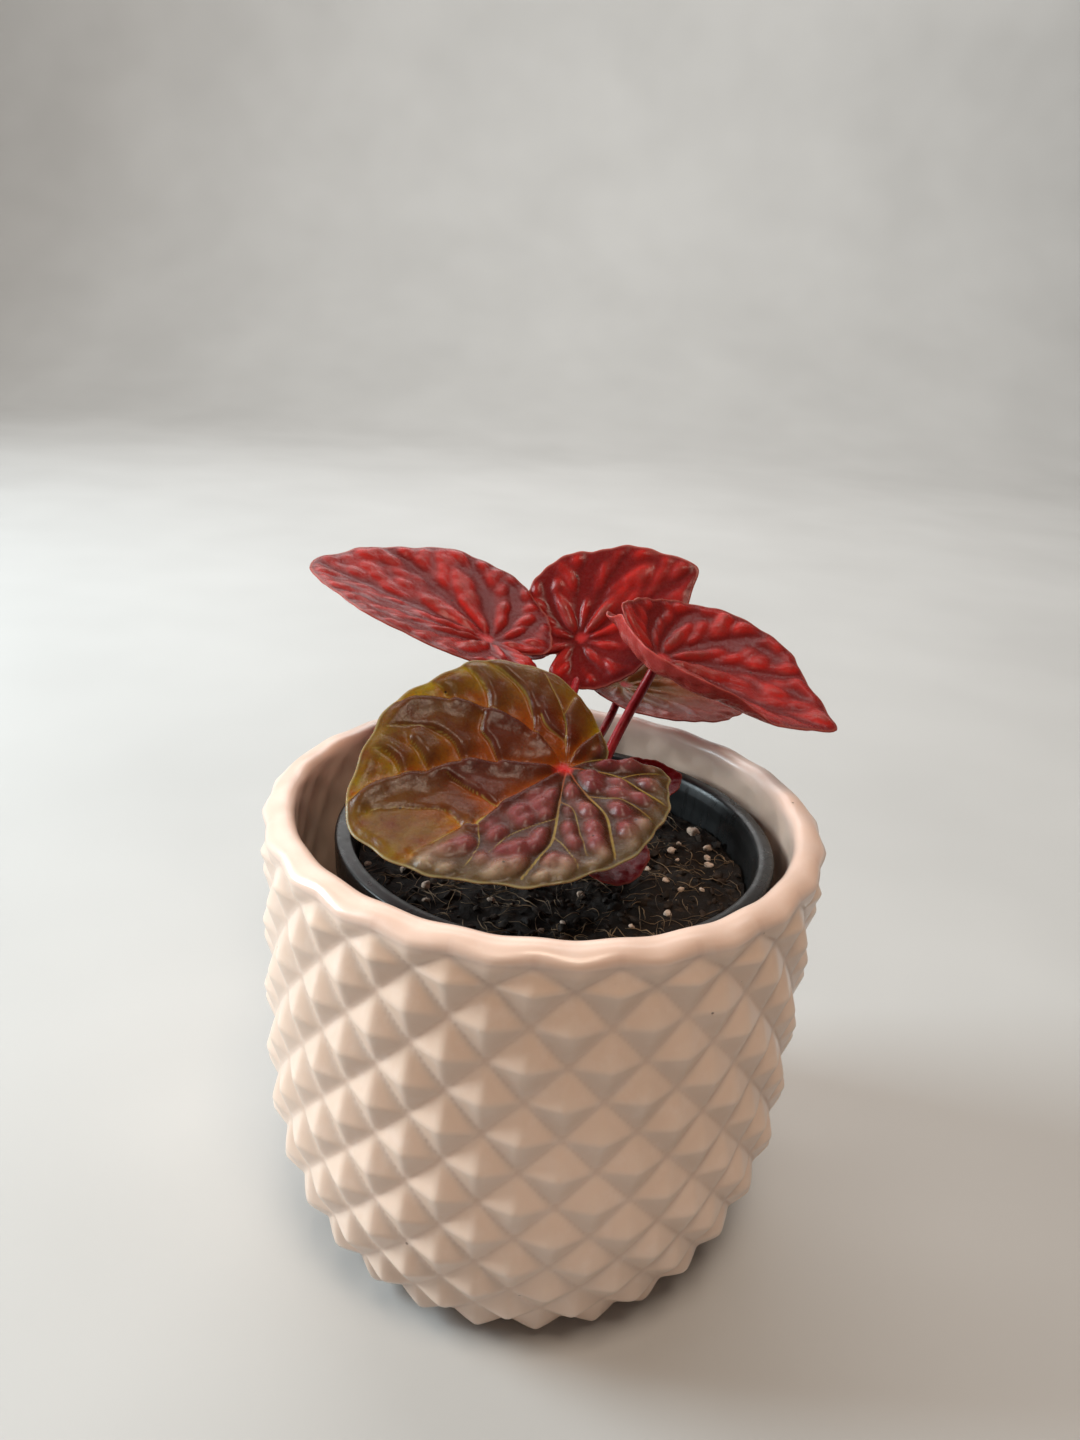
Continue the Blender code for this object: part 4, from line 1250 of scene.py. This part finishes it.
def crimson_leaf():
    """The red leaves: bright panels, duller puckers with painted shade between them, painted
    shade over the small leaves, and pale veins below.
    """
    material, tree = new_material("crimson_leaf_waxy")
    keys = ("vein", "swell", "margin", "reach", "under", "olive", "painted_shade")
    vein, swell, margin, reach, under, olive, painted_shade = (attribute(tree, key) for key in keys)
    broad = cloud(tree, 12.0, 3.0)
    patches = cloud(tree, 4.0, 5.0, 0.6)
    fine = cloud(tree, 1.0, 4.0, 0.65)
    tops = product(tree, (swell, 0.5, 0.95), (patches, 0.3, 0.62, 0.25, 0.95))
    dull = blend(tree, patches, (0.2, 0.036, 0.03), (0.26, 0.075, 0.06))
    golden = ramp(tree, reach, 0.75, 0.25, (0.3, 0.05, 0.03), (0.21, 0.115, 0.022))
    # Painted shade: a darker red laid over the small leaves
    shaded = blend(tree, patches, (0.2, 0.006, 0.008), (0.13, 0.006, 0.008))
    below = ramp(tree, vein, 0.3, 0.9, (0.4, 0.05, 0.042), (0.48, 0.13, 0.1))
    body = layered(
        tree, ramp(tree, broad, 0.38, 0.64, (0.27, 0.016, 0.013), (0.42, 0.016, 0.012)),
        (swell, (0.42, 0.1, 0.0, 0.85), (0.11, 0.007, 0.007)),  # painted shade between the puckers
        (tops, None, dull),
        (fine, (0.52, 0.75, 0.0, 0.4), (0.15, 0.022, 0.018)),
        (olive, None, golden),
        (painted_shade, None, shaded),
        (margin, (0.45, 0.9, 0.0, 0.55), (0.4, 0.11, 0.085)),
        (reach, (0.1, 0.03), (0.46, 0.03, 0.03)),  # where the stalk joins
        (grains_of(tree, 8.0), (0.03, 0.05, 1.0, 0.0), (0.05, 0.012, 0.008)),  # specks
        (under, None, below),
    )
    return finish_leaf(material, body, fine)


def stalk_skin():
    material, tree = new_material("stalk_skin_crimson")
    streaks = cloud(tree, 1.2, 4.0, 0.6, stretch=(1.0, 1.0, 0.12))
    body = layered(
        tree, ramp(tree, streaks, 0.35, 0.7, (0.2, 0.006, 0.01), (0.34, 0.014, 0.018)),
        (attribute(tree, "climb"), (0.12, 0.0, 0.0, 0.8), (0.32, 0.12, 0.06)),  # foot
        (cloud(tree, 0.6, 2.0), (0.62, 0.72, 0.0, 0.5), (0.42, 0.08, 0.08)),
    )
    rough = spread(tree, streaks, 0.3, 0.7, 0.25, 0.38)
    return finish(material, body, rough, bumps(tree, streaks, 0.25, 0.15), {
        "Specular IOR Level": 0.25, "Subsurface Weight": 0.3,
        "Subsurface Radius": (1.0, 0.25, 0.15), "Subsurface Scale": 0.0015,
    })


def make_leaves():
    olive, crimson, skin = olive_leaf(), crimson_leaf(), stalk_skin()
    for name, leaf in LEAVES.items():
        blade = make_blade(name, leaf)
        stalk = make_stalk(name, leaf)
        place(blade, name, olive if "front" in leaf else crimson)
        place(stalk, name, skin, 60)


# Stage

def make_stage():
    """A floor whose far edge is drawn up into a wall, with a wide round bend."""
    deselect()
    bpy.ops.mesh.primitive_plane_add(size=STAGE_SIZE, location=(0, STAGE_BACK, 0))
    floor = bpy.context.active_object
    floor.name = "floor"
    far = 0.5 * STAGE_SIZE - 0.1
    pick_edges(floor, lambda end: end.y > far)
    bpy.ops.mesh.extrude_region_move(TRANSFORM_OT_translate={"value": (0, 0, WALL_HEIGHT)})
    pick_edges(floor, lambda end: end.y > far and end.z < 0.1)
    bpy.ops.mesh.bevel(offset=WALL_BEND, segments=16, profile=0.5)
    bpy.ops.object.mode_set(mode="OBJECT")
    bpy.ops.object.transform_apply(location=True, rotation=True, scale=True)
    shade(floor)
    material, tree = new_material("pale_floor")
    broad = cloud(tree, 160.0, 2.0)
    tone = ramp(tree, broad, 0.3, 0.7, (0.45, 0.44, 0.43), (0.49, 0.48, 0.47))
    inputs = tree.nodes["Principled BSDF"].inputs
    feed(tree, inputs["Base Color"], tone)
    feed(tree, inputs["Roughness"], 0.7)
    floor.data.materials.append(material)


def make_lights():
    for name, spot, aim, size, power, colour in LIGHTS:
        data = bpy.data.lights.new(name, "AREA")
        data.shape = "RECTANGLE"
        data.size, data.size_y = size
        data.energy = power
        data.color = colour
        lamp = bpy.data.objects.new(name, data)
        bpy.context.scene.collection.objects.link(lamp)
        lamp.location = spot
        turn = (Vector(aim) - Vector(spot)).to_track_quat("-Z", "Y")
        lamp.rotation_euler = turn.to_euler()
    world = bpy.data.worlds.new("soft_studio")
    world.use_nodes = True
    backdrop = world.node_tree.nodes["Background"].inputs
    backdrop["Color"].default_value = (*WORLD_COLOUR, 1.0)
    backdrop["Strength"].default_value = WORLD_STRENGTH
    bpy.context.scene.world = world
    bpy.context.scene.view_settings.view_transform = "Standard"


def make_camera():
    turns = [(math.cos(a), math.sin(a)) for a in (CAMERA_YAW, CAMERA_PITCH, CAMERA_ROLL)]
    (cy, sy), (cp, sp), (cr, sr) = turns
    ahead = Vector((sy * cp, cy * cp, -sp))
    right = Vector((cy, -sy, 0.0))
    up = right.cross(ahead)
    right, up = cr * right + sr * up, -sr * right + cr * up
    data = bpy.data.cameras.new("camera")
    data.sensor_fit = "VERTICAL"
    data.sensor_height = SENSOR
    data.lens = CAMERA_LENS
    data.clip_start = 0.01
    camera = bpy.data.objects.new("camera", data)
    bpy.context.scene.collection.objects.link(camera)
    matrix = Matrix((right, up, -ahead)).transposed().to_4x4()
    matrix.translation = Vector((0.0, -CAMERA_BACK, CAMERA_HEIGHT))
    camera.matrix_world = matrix
    bpy.context.scene.camera = camera


def main():
    make_stage()
    make_lights()
    make_camera()
    make_cover_pot()
    make_nursery_pot()
    make_soil()
    make_perlite()
    make_crumbs()
    make_fibres()
    make_crown()
    make_leaves()


main()
